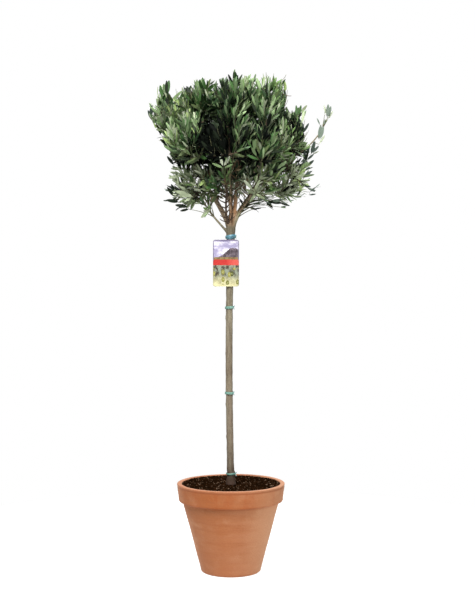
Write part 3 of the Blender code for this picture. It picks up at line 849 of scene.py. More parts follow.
# how warm, how dark and how olive each main limb's bark is
limbTints = {
    "trunk": (0, 0, 0.25),
    "left": (0.2, 0, 0),
    "right": (0, 0, 0.8),
    "centre": (0.9, 0, 0),
    "back": (0.4, 0.45, 0),
    "front": (0.8, 0.3, 0),
    "left_low": (0, 0.15, 0.6),
    "right_spray": (0, 0.5, 0.4),
}


def frames(points):
    # the way, a side and an up vector at each point of a path, carried along without twisting
    side = (points[1] - points[0]).orthogonal().normalized()
    rows = []
    for i, point in enumerate(points):
        along = (points[min(i + 1, len(points) - 1)] - points[max(i - 1, 0)]).normalized()
        side = (side - along * side.dot(along)).normalized()
        rows.append((point, along, side, along.cross(side)))
    return rows


def tubeParts(points, radii, sides):
    # points and faces of a closed tube
    places = []
    for (point, _, side, up), radius in zip(frames(points), radii):
        for k in range(sides):
            turn = math.tau * k / sides
            places.append(point + (side * math.cos(turn) + up * math.sin(turn)) * radius)
    ends = [tuple(reversed(range(sides))), tuple(range((len(points) - 1) * sides, len(points) * sides))]
    return places, [*quads(len(points), sides), *ends]


def joinParts(name, parts):
    places, faces = [], []
    for morePlaces, moreFaces in parts:
        start = len(places)
        places += morePlaces
        faces += [tuple(start + i for i in face) for face in moreFaces]
    return meshOf(name, places, faces)


def collared(limb, spacing, firstFree):
    # a finer bough with the swelling at its root
    s = barkShape
    made = limb.finer(spacing)
    swelling = [math.exp(-max(0, walked - firstFree) / s["collarLength"]) for walked in made.walked()]
    made.radii = [radius * (1 + s["collarSwell"] * more) for radius, more in zip(made.radii, swelling)]
    return made


class BarkMap:
    # finds the limb that a point of the bark belongs to, so that fissures follow it
    def __init__(self, limbs):
        self.rows = [
            (point, along, walked, radius, index)
            for index, limb in enumerate(limbs)
            for (point, along, _, _), walked, radius in zip(frames(limb.points), limb.walked(), limb.radii)
        ]
        self.tree = KDTree(len(self.rows))
        for i, row in enumerate(self.rows):
            self.tree.insert(row[0], i)
        self.tree.balance()

    def at(self, place):
        _, index, _ = self.tree.find(place)
        point, along, walked, radius, limb = self.rows[index]
        offset = place - point
        above = offset.dot(along)
        return offset - along * above, walked + above, radius, limb


def tintBark(mesh, tints):
    # each point's own tint, run into its neighbours' so that none ends sharply
    ends = np.empty(len(mesh.edges) * 2, dtype=np.int64)
    mesh.edges.foreach_get("vertices", ends)
    a, b = ends.reshape(-1, 2).T
    tints = np.array(tints)
    for _ in range(barkShape["blend"]):
        total, count = tints.copy(), np.ones(len(tints))
        for here, there in ((a, b), (b, a)):
            np.add.at(total, here, tints[there])
            np.add.at(count, here, 1)
        tints = total / count[:, None]
    addAttribute(mesh, "limbTint", "FLOAT_VECTOR", tints)


def carveBark(mesh, limbs, names):
    s = barkShape
    bark = BarkMap(limbs)
    places, normals = pointValues(mesh), pointValues(mesh, "normal")
    knotPlaces, knotSizes = map(np.array, zip(*drawKnots(limbs)))
    tints = []
    for i, place in enumerate(places):
        around, walked, radius, limb = bark.at(Vector(place))
        tints.append(limbTints.get(names[limb], limbTints["left"]))
        line, fine, lump = [
            noise.noise((around.x * across, around.y * across, walked * along + around.z * beside))
            for across, along, beside in s["grain"]
        ]
        apart = np.linalg.norm(knotPlaces - place, axis=1) / (s["knotRadius"] * knotSizes)
        dip = s["knotDip"] * np.exp(-((apart / s["knotDipRadius"]) ** 2))
        knot = np.sum(knotSizes * (np.exp(-(apart**2)) - dip))
        out = s["fissure"] * (line + s["fineShare"] * fine) + s["lump"] * lump + s["knotHeight"] * knot
        places[i] += normals[i] * out * min(1, radius / s["fullReliefRadius"])
    movePoints(mesh, places)
    tintBark(mesh, tints)


def drawKnots(limbs):
    # old leaf and shoot scars, in a spiral up each limb: the place and size of each
    s = barkShape
    draw = random.Random(s["seed"])
    knots = []
    for limb in limbs:
        due = draw.uniform(0.3, 1) * s["knotEvery"]
        turn = draw.uniform(0, math.tau)
        for (point, _, side, up), walked, radius in zip(frames(limb.points), limb.walked(), limb.radii):
            if walked >= due:
                out = side * math.cos(turn) + up * math.sin(turn)
                knots.append((tuple(point + out * radius), draw.uniform(0.55, 1.15)))
                turn += math.radians(draw.uniform(110, 160))
                due += s["knotEvery"] * draw.uniform(0.55, 1.5)
    return knots


def buildBark(limbs, bark):
    s = barkShape
    main = [name for name in boughRule if mainOf(name) == name]
    lesser = [name for name in boughRule if name not in main]
    fused = [trunkLimb(s["trunkRings"]), *(collared(limbs[name], *s["mainRings"]) for name in main)]
    sides = [s["trunkSides"]] + [s["mainSides"]] * len(main)
    parts = [tubeParts(limb.points, limb.radii, count) for limb, count in zip(fused, sides)]
    skin = addObject("trunkBark", joinParts("trunkBark", parts), bark)
    remesh = skin.modifiers.new("Fuse", "REMESH")
    remesh.mode = "VOXEL"
    remesh.voxel_size = s["voxel"]
    smooth = skin.modifiers.new("Ease", "SMOOTH")
    smooth.factor = 0.5
    smooth.iterations = s["smoothing"]
    plainMesh(skin)
    skin.data.shade_smooth()
    carveBark(skin.data, fused, ["trunk", *main])
    lowest = pointValues(skin.data)
    lowest[:, 2] = np.maximum(lowest[:, 2], trunkRule["foot"])
    movePoints(skin.data, lowest)
    finishPiece(skin, solidNames("bough", ["trunk", *main]))
    thin = [collared(limbs[name], *s["lesserRings"]) for name in lesser]
    parts = [tubeParts(limb.points, limb.radii, s["lesserSides"]) for limb in thin]
    skin = addObject("boughBark", joinParts("boughBark", parts), bark)
    carveBark(skin.data, thin, lesser)
    finishPiece(skin, solidNames("bough", lesser))


def barkLook(name, pale, mid, dark, streakScale):
    look = Look(name)
    streak = look.noise(streakScale, 5, (1, 1, 0.11), 0.62)
    fine = look.noise(900, 3, (1, 1, 0.25))
    flecks = look.cells(310, (1, 1, 0.55))
    colour = look.layers(
        look.blend(look.noise(26, 4, (1, 1, 0.45)), 0.36, 0.64, mid, pale),
        (look.ramp(streak, (0.45, 0), (0.68, 0.75)), dark),
        (look.ramp(flecks, (0.05, 0.55), (0.16, 0)), pale),
        (look.ramp(fine, (0.36, 0.35), (0.52, 0)), dark),
    )
    relief = streak + fine * 0.4 + look.ramp(flecks, (0.04, 0.6), (0.18, 0))
    look.set(Roughness=look.ramp(streak, (0.3, 0.72), (0.7, 0.9)), Normal=look.bump(relief, 0.0006, 0.8))
    look.set(Base_Color=colour, Specular_IOR_Level=0.3)
    return look, colour


def limbLook(name, *barkRow):
    # bark that also shows its limb's tint, the browner lower trunk, the damp foot, painted light on the limbs
    # above the fork and painted shade in the crotch of the fork
    look, colour = barkLook(name, *barkRow)
    height = look.axis("Z")
    patch = look.noise(60, 3, (1, 1, 0.3))
    tint = look.node("ShaderNodeAttribute", {"attribute_name": "limbTint"}, out="Vector")
    warm, dark, olive = [look.node("ShaderNodeSeparateXYZ", None, {0: tint}, out=axis) for axis in range(3)]
    above = look.ramp(height, (0.955, 0), (0.985, 1))
    mottle = look.ramp(look.noise(150, 4, (1, 1, 0.16), 0.6), (0.34, 1), (0.62, 0.35))
    nearFork = look.ramp(height * 0.5, (0.505, 1), (0.535, 0.25))
    paintedForkShade = look.ramp(height, (0.96, 0), (0.968, 0.85), (0.986, 0.85), (0.998, 0))
    aside = look.axis("X").maths("ABSOLUTE", look.axis("X") - 0.003)
    low = look.ramp(height, (0.3, 0.75), (0.62, 0.35), (0.78, 0))
    colour = look.layers(
        colour,
        (low * look.ramp(patch, (0.35, 1), (0.65, 0.35)), (100, 82, 69)),
        # painted light: paler bark above the fork, where the crown shades the limbs
        (above * (0.8 - mottle * 0.5), (190, 172, 148)),
        (above * olive * mottle, (146, 146, 106)),
        (above * warm * mottle * nearFork, (198, 134, 80)),
        (above * dark * 0.85, (44, 32, 26)),
        # painted shade: a dark line in the crotch of the fork
        (paintedForkShade * look.ramp(aside + patch * 0.004 - 0.002, (0.0018, 1), (0.0042, 0)), (42, 24, 18)),
        (look.ramp(height, (0.238, 0.95), (0.256, 0.85), (0.3, 0.3), (0.36, 0)), (44, 23, 10)),
    )
    return look.set(Base_Color=colour)


# Foliage

sprays = {
    "shootsPerLitre": 44,
    # the share of that number which a mass gets, where it isn't 1
    "density": {"front": 0.75, "front_low": 0.8, "left_low": 0.75, "right_skirt": 0.8, "right_low": 0.75},
    # the share of its shoots that bear no leaves
    "leafless": {"front_low": 0.55, "left_low": 0.25, "right_skirt": 0.45, "right_low": 0.12},
    "sprigsOnly": ("right_spray",),
    "seed": 400,
    "draws": 16,
    "innermost": 0.5,
    "wallRoom": -0.012,       # shoots pass a little into the next mass
    "lengths": (0.03, 0.09),
    "leastLength": 0.026,
    "outward": 0.62,
    "least": -0.12,           # how far a shoot may turn down
    "rise": (0.3, 1.5),      # how strongly shoots turn up, low and high in the crown
    "riseBetween": (1.05, 1.2),
    "sway": 0.35,
    "stemRoots": 16,          # places that shoots leave from: on a stem, on a twig and on another shoot
    "twigRoots": (0.1, 0.3, 0.5, 0.7, 0.9),
    "shootRoots": (0.25, 0.5),
    "radii": (0.0011, 0.00045),
    "pathSteps": 7,
    "bare": 0.16,             # the share of a shoot, a twig and a stem without leaves
    "twigBare": 0.35,
    "stemBare": 0.45,
    "twigTurn": 0.55,
    "ringSpacing": 0.008,
    "shootLeave": 0.5,        # how much a shoot keeps of its limb's way, of the crown's and of its own
    "shootArrive": (1.2, 0.4),
    "mostTurn": 0.3,
    "rootClear": 0.12,
    "woodRoom": 0.0015,
    "woodTries": (0.35, 0.7, 1),
    "sprigBare": 0.25,
    "sprigRadii": (0.0013, 0.0006),
    "twigRadii": (0.00168, 0.0007),
    "twigSteps": 8,
    "laidRadii": (0.0012, 0.0006),
    "laidEnd": 0.0005,        # the radius between leaves that share a shoot, and their least distance
    "laidApart": 0.002,
    "laidLean": 0.004,        # how far a laid leaf's tip stands in front of its base
    "laidTurn": 0.6,
}

leafShape = {
    "length": 0.0385,
    "lengths": (0.86, 1.12),  # the least and most of that, from shoot to shoot
    "width": 0.226,           # of its length
    "thickness": 0.013,
    "stalk": 0.06,
    "stalkRadius": 0.011,
    "stations": (0.15, 0.32, 0.54, 0.76, 0.92),
    "widest": 0.9,
    "bluntness": 0.58,
    "sharpEdge": 75,
    "pairSpacing": 0.0125,
    "tipSpread": 15,
    "openSpread": 46,
    "openFrom": 2.5,          # pairs from the tip down to where the leaves are open, and to full size
    "fullFrom": 1.6,
    "tipSize": 0.62,
    "missing": 0.04,
    "sizes": (0.82, 1.12),
    "turnWander": 14,
    "spreadWander": 9,
    # where a leaf doesn't fit, its length and its spread are tried smaller
    "tries": ((1, 1), (0.88, 0.6), (0.76, 0.35)),
    "roll": 38,
    "laidRoll": 24,
    "otherTone": 0.35,        # the share of leaves that are a tone paler or darker than their shoot
    "lift": (0.06, 0.42),     # how strongly leaves turn up, low and high in the crown
    "outward": 0.08,
    "raggedness": (0.4, 1.25),  # the share of the room below that a shoot's leaves may use
    "room": (0.018, 0.034, 0.024),  # how far leaf tips pass their mass's twigs: sideways, up and down
}

# the upper and lower colour of each kind of leaf, on a screen
leafTones = {
    # ink and shade are near-black leaves, dealt out mostly where the crown lies in shade: partly painted
    # shade
    "ink": ((4, 7, 4), (15, 19, 14)),
    "shade": ((15, 26, 13), (40, 50, 35)),
    "deep": ((32, 54, 27), (84, 104, 70)),
    "green": ((58, 90, 45), (108, 130, 88)),
    "olive": ((88, 102, 64), (144, 154, 126)),
    "fresh": ((104, 132, 78), (140, 164, 118)),
    "tip": ((138, 158, 98), (176, 188, 154)),
    "sage": ((126, 136, 106), (166, 174, 150)),
    "dry": ((86, 72, 48), (126, 112, 86)),
    "slate": ((50, 62, 54), (100, 112, 100)),
}
toneSteps = list(leafTones)[:-2]   # from dark to pale
# each kind's roughness above and its shine above and beneath
leafGloss = {"ink": (0.75, 0.06, 0.06), "shade": (0.6, 0.14, 0.14)}
plainGloss, underRough = (0.42, 0.32, 0.18), 0.75
# how far each shape of blade bends, folds along its middle and twists, and its width
leafBends = (
    (0.02, 0.12, 0, 1), (-0.1, 0.18, 0.25, 1), (-0.18, 0.06, -0.3, 1), (0.08, 0.24, 0.15, 1),
    (-0.04, -0.06, -0.4, 1), (0.03, 0.08, 0, 1.25),
)
broadLeaf = len(leafBends) - 1

# the shares of leaf tones in parts of the crown, each with its middle and reach in millimetres: the first
# part that holds a shoot's tip counts
toneParts = (
    # the middle of the crown, nearly all near-black leaves: painted shade
    ((-36, -80, 1170), (86, 130, 66), dict(ink=0.84, shade=0.15, deep=0.01)),
    ((-182, -40, 1250), (82, 140, 140), dict(deep=0.16, green=0.22, fresh=0.28, tip=0.18, sage=0.16)),
    # the inside of the crown, dark leaves: painted shade
    ((10, 0, 1190), (112, 110, 84), dict(ink=0.55, shade=0.36, deep=0.09)),
    ((-60, -60, 1300), (70, 160, 60), dict(shade=0.1, deep=0.36, green=0.38, olive=0.16)),
    ((100, -60, 1300), (90, 160, 60), dict(shade=0.1, deep=0.18, green=0.42, fresh=0.24, tip=0.06)),
    ((60, 0, 1340), (220, 220, 65), dict(shade=0.06, deep=0.24, green=0.38, fresh=0.26, tip=0.06)),
    ((0, -50, 1085), (72, 120, 55), dict(shade=0.14, deep=0.14, olive=0.36, sage=0.14, dry=0.22)),
    ((168, -40, 1175), (48, 120, 65), dict(shade=0.1, green=0.2, olive=0.34, fresh=0.36)),
    # low in the crown, paler leaves where the crown shades them: partly painted light
    ((20, 0, 1050), (300, 220, 72), dict(ink=0.03, slate=0.06, olive=0.16, fresh=0.18, tip=0.17, sage=0.4)),
    ((0, 0, 1200), (9000,) * 3, dict(ink=0.12, shade=0.22, deep=0.2, green=0.22, olive=0.12, fresh=0.12)),
)

# where the picture shows sky beside the crown: the middle and the reach, in its pixels
openAir = (
    (174, 84, 7, 13), (187, 74, 8, 12), (146, 138, 9, 14), (150, 90, 8, 12), (141, 108, 8, 12),
    (149, 127, 6, 6), (165, 150, 6, 4), (165, 158, 4.5, 6), (170, 183, 4, 3), (161, 78, 5, 6),
    (177, 92, 5, 5), (146, 119, 4, 5), (300, 87, 15, 20), (291, 103, 6, 7), (314, 126, 10, 19),
    (305, 117, 5, 6), (272, 70, 6, 6), (213, 72, 6, 6), (229, 70, 4, 4), (239, 70, 3, 5), (198, 74, 6, 5),
    (221, 71, 5, 6), (154, 101, 2.5, 8),
)

# single sprays of each mass: the limb and share that they leave, where they end in millimetres, which way
# they point there, and unless they are bare their pairs of leaves, the leaves' length, how far those open
# and their tone
sprigs = {
    "left_front": (
        ("left", 0.6, (-70, -20, 1150), (-0.3, -0.3, 1), 7, 38, 48, "ink"),
        ("left", 0.7, (-52, 10, 1145), (-0.1, -0.3, 1), 7, 38, 48, "shade"),
    ),
    "front_low": (
        ("front", 0.5, (-12, -138, 1124), (-0.1, -0.2, 1), 2, 28, 34, "fresh"),
        ("centre", 0.45, (33, -50, 1045), (0.2, -0.3, 0.3), 3, 34, 40, "dry"),
        ("centre", 0.35, (23, -30, 1036), (0.3, -0.3, -0.3), 2, 34, 40, "ink"),
        ("front", 0.4, (-24, -50, 1053), (-0.2, -0.3, 0.2), 3, 32, 40, "dry"),
        ("front", 0.35, (-13, -40, 1046), (0.1, -0.3, -0.2), 2, 32, 36, "dry"),
    ),
    "front": (
        ("front", 0.6, (25, -184, 1194), (0.4, -0.7, 1), 5, 36, 36, "olive"),
        ("stem", 0.6, (-10, -158, 1264), (0, -0.2, 1), 6, 36, 30, "deep"),
        ("stem", 0.7, (18, -140, 1280), (0.1, -0.1, 1), 7, 34, 32, "green"),
        ("stem", 0.8, (42, -130, 1274), (0.1, -0.1, 1), 6, 34, 30, "fresh"),
    ),
    "left_low": (
        ("left_low", 0.55, (-49, -50, 1061), (0.2, -0.1, 1), 5, 32, 26, "dry"),
        ("left_low", 0.6, (-65, -50, 995), (-0.5, -0.3, -1), 2, 34, 20, "fresh"),
        ("stem", 0.3, (-165, -30, 1066), (-1, 0, 0.9), 4, 32, 40, "shade"),
        ("stem", 0.1, (-171, -30, 1028), (-1, 0, 0.1), 3, 32, 35, "shade"),
        ("left_low", 0.9, (-139, -50, 1009), (-1, -0.1, -0.2), 4, 30, 35, "shade"),
        ("left", 0.35, (-38, -30, 1041), (-0.3, -0.3, 0.2), 3, 34, 40, "dry"),
        ("left_low", 0.6, (-71, -40, 1040), (-0.4, -0.2, 0.4), 3, 32, 40, "olive"),
        ("left_low", 0.7, (-96, -30, 1025), (-0.8, -0.1, 0), 3, 34, 36, "olive"),
        ("left_low", 0.85, (-119, -20, 1023), (-1, 0, 0.1), 3, 34, 36, "fresh"),
        ("left_low", 0.45, (-121, -40, 1005), (-1, 0, 0.2)),
    ),
    "right_skirt": (
        ("right_skirt", 0.55, (157, -60, 1025), (1, -0.1, 0.1), 5, 32, 30, "slate"),
        ("right_skirt", 0.3, (64, -50, 1004), (1, -0.1, -0.2), 2, 32, 24, "shade"),
        ("right_skirt", 0.4, (135, -50, 1009), (1, -0.1, -0.1), 3, 30, 28, "deep"),
        ("right", 0.35, (42, -20, 1059), (-0.3, -0.2, 0.6), 3, 34, 40, "dry"),
        ("right_skirt", 0.5, (86, -50, 1031), (1, -0.1, 0.1), 2, 26, 30, "slate"),
        ("right", 0.3, (58, -40, 1021), (1, -0.2, 0)),
        ("right_skirt", 0.8, (122, -40, 1029), (1, -0.1, 0), 3, 34, 34, "deep"),
        ("right", 0.2, (95, -30, 1016), (1, -0.1, 0.2)),
        ("right", 0.24, (80, -40, 1030), (1, -0.1, 0.4)),
        ("right_skirt", 0.6, (158, -40, 1022), (1, -0.1, 0.1)),
        ("right", 0.26, (116, -50, 1036), (1, -0.1, 0.3)),
        ("right", 0.12, (86, -30, 1033), (0.6, -0.1, 0.6)),
        ("right", 0.16, (108, -30, 1022), (1, -0.1, 0.1)),
        ("right", 0.2, (128, -30, 1040), (1, -0.1, 0.5)),
        ("right", 0.09, (97, -30, 1009), (1, -0.1, -0.1)),
        ("right", 0.18, (72, -30, 1044), (0.4, -0.1, 0.8)),
    ),
    "right_low": (
        ("right", 0.42, (192, -20, 1042), (1, 0, 0.2), 6, 30, 40, "olive"),
        ("stem", 0.5, (234, -10, 1066), (1, 0, 0.6), 4, 32, 35, "slate"),
        ("stem", 0.6, (205, 0, 1085), (1, 0, 0.7), 4, 34, 36, "olive"),
        ("stem", 0.6, (193, 0, 1136), (0.6, 0, 0.8), 4, 36, 36, "shade"),
        ("stem", 0.5, (210, 0, 1100), (1, 0, 0.5), 4, 36, 40, "deep"),
    ),
    "right_spray": (
        ("stem", 0.4, (262, 4, 1272), (0.2, 0.1, 1), 2, 30, 30, "olive"),
    ),
    "left_upper": (
        ("stem", 0.3, (-220, 0, 1285), (-0.1, 0, 1), 4, 34, 20, "green"),
        ("stem", 0.9, (-174, -10, 1345), (0.05, 0, 1), 4, 34, 20, "green"),
        ("stem", 0.05, (-200, -20, 1196), (-1, 0, 0.5), 3, 34, 40, "ink"),
    ),
    "top": (
        ("stem", 0.8, (31, -60, 1346), (0.05, 0, 1), 4, 32, 20, "green"),
        ("stem", 0.85, (48, -50, 1356), (0.1, 0, 1), 4, 32, 20, "fresh"),
        ("stem", 0.8, (63, -40, 1356), (0.1, 0, 1), 4, 32, 20, "deep"),
        ("stem", 0.7, (-6, -50, 1344), (-0.1, 0, 1), 4, 32, 20, "green"),
        ("stem", 0.6, (-21, -60, 1340), (-0.1, 0, 1), 4, 32, 20, "deep"),
    ),
    "right_top": (
        ("stem", 0.5, (79, -30, 1347), (0, 0, 1), 4, 32, 20, "fresh"),
        ("stem", 0.8, (139, -30, 1342), (0.1, 0, 1), 4, 34, 24, "green"),
        ("stem", 0.9, (152, -20, 1339), (0.1, 0, 1), 4, 34, 24, "fresh"),
        ("stem", 0.8, (153, -20, 1378), (0.3, 0, 1)),
        ("stem", 0.9, (120, 0, 1386), (0.1, 0, 1)),
        ("stem", 0.7, (97, -40, 1380), (0, 0, 1)),
    ),
    "right_front": (
        ("right", 0.5, (88, -20, 1150), (0.2, -0.3, 1), 7, 38, 48, "ink"),
        ("right", 0.6, (110, 0, 1140), (0.4, -0.3, 1), 6, 38, 48, "shade"),
        ("stem", 0.6, (66, -130, 1282), (0.1, -0.1, 1), 7, 34, 32, "deep"),
        ("stem", 0.7, (88, -130, 1276), (0, -0.1, 1), 6, 34, 30, "green"),
        ("stem", 0.8, (112, -120, 1284), (0.1, -0.1, 1), 7, 34, 32, "fresh"),
        ("stem", 0.9, (134, -100, 1272), (0.2, -0.1, 1), 6, 34, 30, "green"),
    ),
    "left_top": (
        ("stem", 0.3, (-52, -130, 1286), (-0.3, -0.1, 1), 6, 34, 30, "deep"),
        ("stem", 0.4, (-85, -120, 1292), (-0.2, -0.1, 1), 6, 34, 30, "green"),
    ),
}

# leaves of each mass that stand out one by one, on a shoot of their own: the limb and share that the shoot
# leaves, their depth, their tone, the shape of their blade (5 is the broad one), whether they show their
# upper (1) or lower (-1) side, and the base and the tip of each in the picture's pixels
laidLeaves = {
    "left_low": (
        ("left_low", 0.45, -0.03, "olive", 5, -1, (211, 208, 201, 218), (210, 205, 204, 211)),
        ("left_low", 0.45, -0.04, "olive", 5, 1, (212, 204, 217, 188)),
        ("stem", 0.2, -0.03, "shade", 5, 1, (175, 197, 167, 187), (177, 193, 171, 184)),
        ("left_low", 0.92, -0.04, "shade", 5, 1, (179, 202, 166, 200)),
        ("left_low", 0.88, -0.05, "shade", 5, 1, (188, 207, 175, 205), (189, 209, 180, 211)),
        ("stem", 0.4, -0.02, "olive", 5, -1, (182, 175, 168, 178), (179, 174, 170, 172)),
        ("stem", 0.1, -0.06, "olive", 5, -1,
         (193, 197, 176, 191), (191, 199, 180, 201), (190, 193, 179, 186)),
        ("stem", 0.6, -0.02, "ink", 5, 1,
         *((181 + 3 * i, 171, 177 + 3 * i + i % 3 * 4, 158 + i % 2 * 2) for i in range(7))),
    ),
    "front_low": (
        ("front", 0.5, -0.132, "sage", 5, -1, (223, 166, 220, 156), (224, 166, 230, 156)),
        ("front", 0.48, -0.13, "green", 0, -1, (223, 168, 212, 163), (224, 168, 233, 164)),
    ),
    "left_front": (
        ("stem", 0.1, -0.04, "shade", 5, 1, (178, 158, 170, 153), (174, 165, 167, 156)),
    ),
    "left_upper": (
        ("left", 0.9, -0.01, "shade", 5, 1, (171, 147, 160, 139)),
        ("stem", 0.05, -0.01, "shade", 0, 1, (161, 135, 156, 121), (166, 138, 162, 128)),
        ("stem", 0.5, -0.01, "slate", 5, 1, (150, 118, 152, 105), (151, 119, 148, 110)),
        ("stem", 0.8, -0.02, "green", 5, 1, (167, 95, 169, 80), (163, 99, 160, 85)),
    ),
    "top": (
        ("stem", 0.95, -0.07, "deep", 0, -1, (233, 79, 235, 69)),
    ),
    "right_top": (
        ("stem", 0.95, -0.02, "tip", 5, 1, (282, 92, 280, 80), (286, 91, 284, 80)),
    ),
    "right_upper": (
        ("stem", 0.6, -0.04, "green", 5, 1, (297, 116, 296, 105), (299, 115, 301, 105)),
        ("stem", 0.65, -0.04, "sage", 5, 1, (301, 113, 307, 105)),
        ("stem", 0.3, -0.03, "slate", 0, 1, (300, 119, 304, 130), (303, 133, 309, 123)),
    ),
    "right_spray": (
        ("right_spray", 0.85, 0, "sage", 0, -1, (319, 144, 325, 135), (313, 154, 319, 151)),
        ("right_spray", 0.97, -0.004, "slate", 5, -1, (319, 139, 321, 125), (320, 139, 323.5, 126)),
        ("stem", 0.25, 0, "slate", 0, -1, (320, 125, 317, 118), (324, 125, 325, 119)),
        ("stem", 0.55, 0, "slate", 5, -1, (327.5, 117, 328, 104), (328, 117, 331, 106)),
        ("stem", 0.6, 0.004, "sage", 0, -1, (326, 114, 324, 105), (328, 119, 333, 111)),
    ),
    "right_skirt": (
        ("right", 0.16, -0.04, "shade", 5, 1, (249, 207, 257, 210)),
        ("right_skirt", 0.25, -0.04, "shade", 5, 1, (266, 202, 273, 208)),
        ("right_skirt", 0.5, -0.05, "shade", 5, 1, (268, 201, 282, 203)),
        ("right_skirt", 0.7, -0.04, "shade", 0, 1, (280, 203, 290, 206)),
    ),
    "right_low": (
        ("stem", 0.6, -0.07, "fresh", 5, -1, (277, 169, 287, 161), (279, 172, 286, 167)),
        ("stem", 0.8, -0.01, "shade", 0, 1, (305, 163, 308, 151), (308, 166, 314, 160)),
        ("stem", 0.6, -0.01, "slate", 5, 1,
         (302, 169, 304, 159), (304, 160, 305, 150), (306, 167, 314, 160), (307, 160, 314, 154),
         (307, 156, 309, 146), (311, 154, 315, 141), (312, 153, 319, 146)),
        ("stem", 0.2, -0.02, "slate", 5, 1,
         (305, 170, 310, 167), (305, 175, 312, 171), (302, 185, 311, 187), (297, 196, 301, 190)),
        ("stem", 0.1, -0.02, "slate", 0, 1, (310, 192, 316, 187), (309, 195, 316, 194)),
    ),
    "right_front": (
        ("right_front", 0.8, -0.11, "fresh", 5, -1, (262, 159, 261, 148), (268, 153, 270, 142)),
    ),
}

# boughs with short bare side twigs: from where to where, how many pairs, and their length
bareTwigs = {
    "front": (0.16, 0.5, 6, 0.014),
    "left_low": (0.6, 0.95, 5, 0.014),
    "left": (0.25, 0.55, 4, 0.016),
    "right": (0.3, 0.6, 5, 0.02),
    "right_skirt": (0.2, 0.9, 6, 0.018),
    "centre": (0.2, 0.6, 5, 0.016),
}
bareTwigKind = (90, 0.0014)   # how far each pair turns from the last, and how thick the twigs are
sideTwigShape = {"wander": 20, "forward": 0.9, "lengths": (0.7, 1.25), "rise": 0.5, "steps": 4}
# the dark shoot in front of the fork, with a herringbone of bare twigs; its end is in the picture's pixels
forkShoot = {
    "share": 0.03, "leave": (-0.5, 0, 0), "end": (226.5, 186, -0.06), "arrive": (0, -0.3, 1),
    "radii": (0.0034, 0.0024), "steps": 16, "twigs": (0.16, 0.98, 8, 0.022, 0, 0.002),
}
# sprays that fill the middle of the crown, between its masses, with near-black leaves as painted shade
heartSprays = {
    "count": 22, "middle": Vector((0.01, 0.01, 1.205)), "reach": (0.075, 0.06, 0.065), "bough": "centre",
    "roots": (0.35, 0.85), "rise": 0.5, "radii": (0.0014, 0.0006), "steps": 8, "bare": 0.3,
    "leaves": (7, 0.038, 44), "tones": ("ink", "shade", "shade"), "seed": 9,
}


def inOpenAir(point):
    across, down = inPicture(point)
    return any(((across - x) / wide) ** 2 + ((down - y) / high) ** 2 < 1 for x, y, wide, high in openAir)


class Mass:
    # the space of one mass of foliage: nearer to its own middle than to any other
    def __init__(self, name):
        self.name = name
        self.bough, middle, reach, leader, self.twigs = massRule[name]
        self.middle = Vector(metres(middle))
        self.reach = Vector(metres(reach))
        self.leader = leader / 1000
        others = [Vector(metres(row[1])) for other, row in massRule.items() if other != name]
        self.walls = [((other + self.middle) / 2, (other - self.middle).normalized()) for other in others]

    def holds(self, point, margin):
        return all((point - place).dot(outward) < -margin for place, outward in self.walls)

    def depth(self, point):
        return depthIn(point, self.middle, self.reach)

    def holdsLeaf(self, tip, raggedness):
        sideways, up, down = leafShape["room"]
        room = [raggedness * share for share in (sideways, sideways, up if tip.z > self.middle.z else down)]
        reach = [self.reach[k] + room[k] for k in range(3)]
        return not inOpenAir(tip) and depthIn(tip, self.middle, reach) < 1

    def edge(self, direction):
        return 1 / depthIn(direction, (0, 0, 0), self.reach)

    def litres(self):
        return 4000 / 3 * math.pi * self.reach.x * self.reach.y * self.reach.z


def stemLimb(mass, limbs):
    s = growthRule
    tip, along, radius = limbs[mass.bough].at(1)
    start = tip + along * s["gap"]
    others = [limb for name, limb in limbs.items() if name != mass.bough]
    for lean in s["stemLeans"]:
        rise = ((mass.middle - tip).normalized() + Vector((*lean, s["stemRise"]))).normalized()
        end = mass.middle + rise * (mass.edge(rise) * s["stemLength"] + mass.leader)
        stem = bentLimb(start, along, end, rise, radius, s["stemTipRadius"], s["stemSteps"])
        if all(clearOf(others, a, b, 2 * radius) for a, b, _ in stem.segments()):
            break
    return stem


def spreadTargets(mass, count, found, draws, innermost, wallRoom, draw):
    # each new point is the one of many draws that lies furthest from the others
    added = []
    for _ in range(count):
        best, room = None, 0
        for _ in range(draws):
            point = mass.middle + Vector([draw.uniform(-1, 1) * mass.reach[k] for k in range(3)])
            if not innermost < mass.depth(point) < 1 or not mass.holds(point, wallRoom):
                continue
            apart = min([(point - other).length for other in found + added] or [1])
            if apart > room:
                best, room = point, apart
        if best:
            added.append(best)
    return added


def growTwigs(mass, stem, limbs, draw):
    # the same twigs as in the solid of this mass
    s = growthRule
    wood = list(limbs.values())
    branches = [stem.at(i / s["twigRoots"])[:2] for i in range(2, s["twigRoots"])]
    targets = spreadTargets(mass, mass.twigs, [], s["twigDraws"], s["twigTipDepth"], s["twigWallRoom"], draw)
    twigs = []
    for target in sorted(targets, key=lambda point: (point - stem.points[0]).length):
        reached = [
            ((target - root).length - s["twigLeastLength"] * (target - root).normalized().dot(along), root)
            for root, along in branches
            if (target - root).length > s["twigLeastLength"]
            and clearOf(wood, root, target, s["twigRootRadius"] + s["gap"])
        ]
        if reached:
            root = min(reached, key=lambda row: row[0])[1]
            line = target - root
            twigs.append((root, target))
            branches += [(root + line * share, line.normalized()) for share in s["twigForks"]]
    return twigs


def byHeight(place, bounds):
    # an amount that runs from low to high in the crown
    low, high = sprays["riseBetween"]
    return bounds[0] + (bounds[1] - bounds[0]) * max(0, min(1, (place.z - low) / (high - low)))


def outwardAt(place, least):
    outward = (place - growthRule["heart"]).normalized()
    outward.z = max(outward.z, least)
    return outward


def shootWay(place):
    # shoots turn out of the crown when low in it, and up when high in it
    s = sprays
    rise = Vector((0, 0, byHeight(place, s["rise"])))
    return (outwardAt(place, s["least"]) * s["outward"] + rise).normalized()


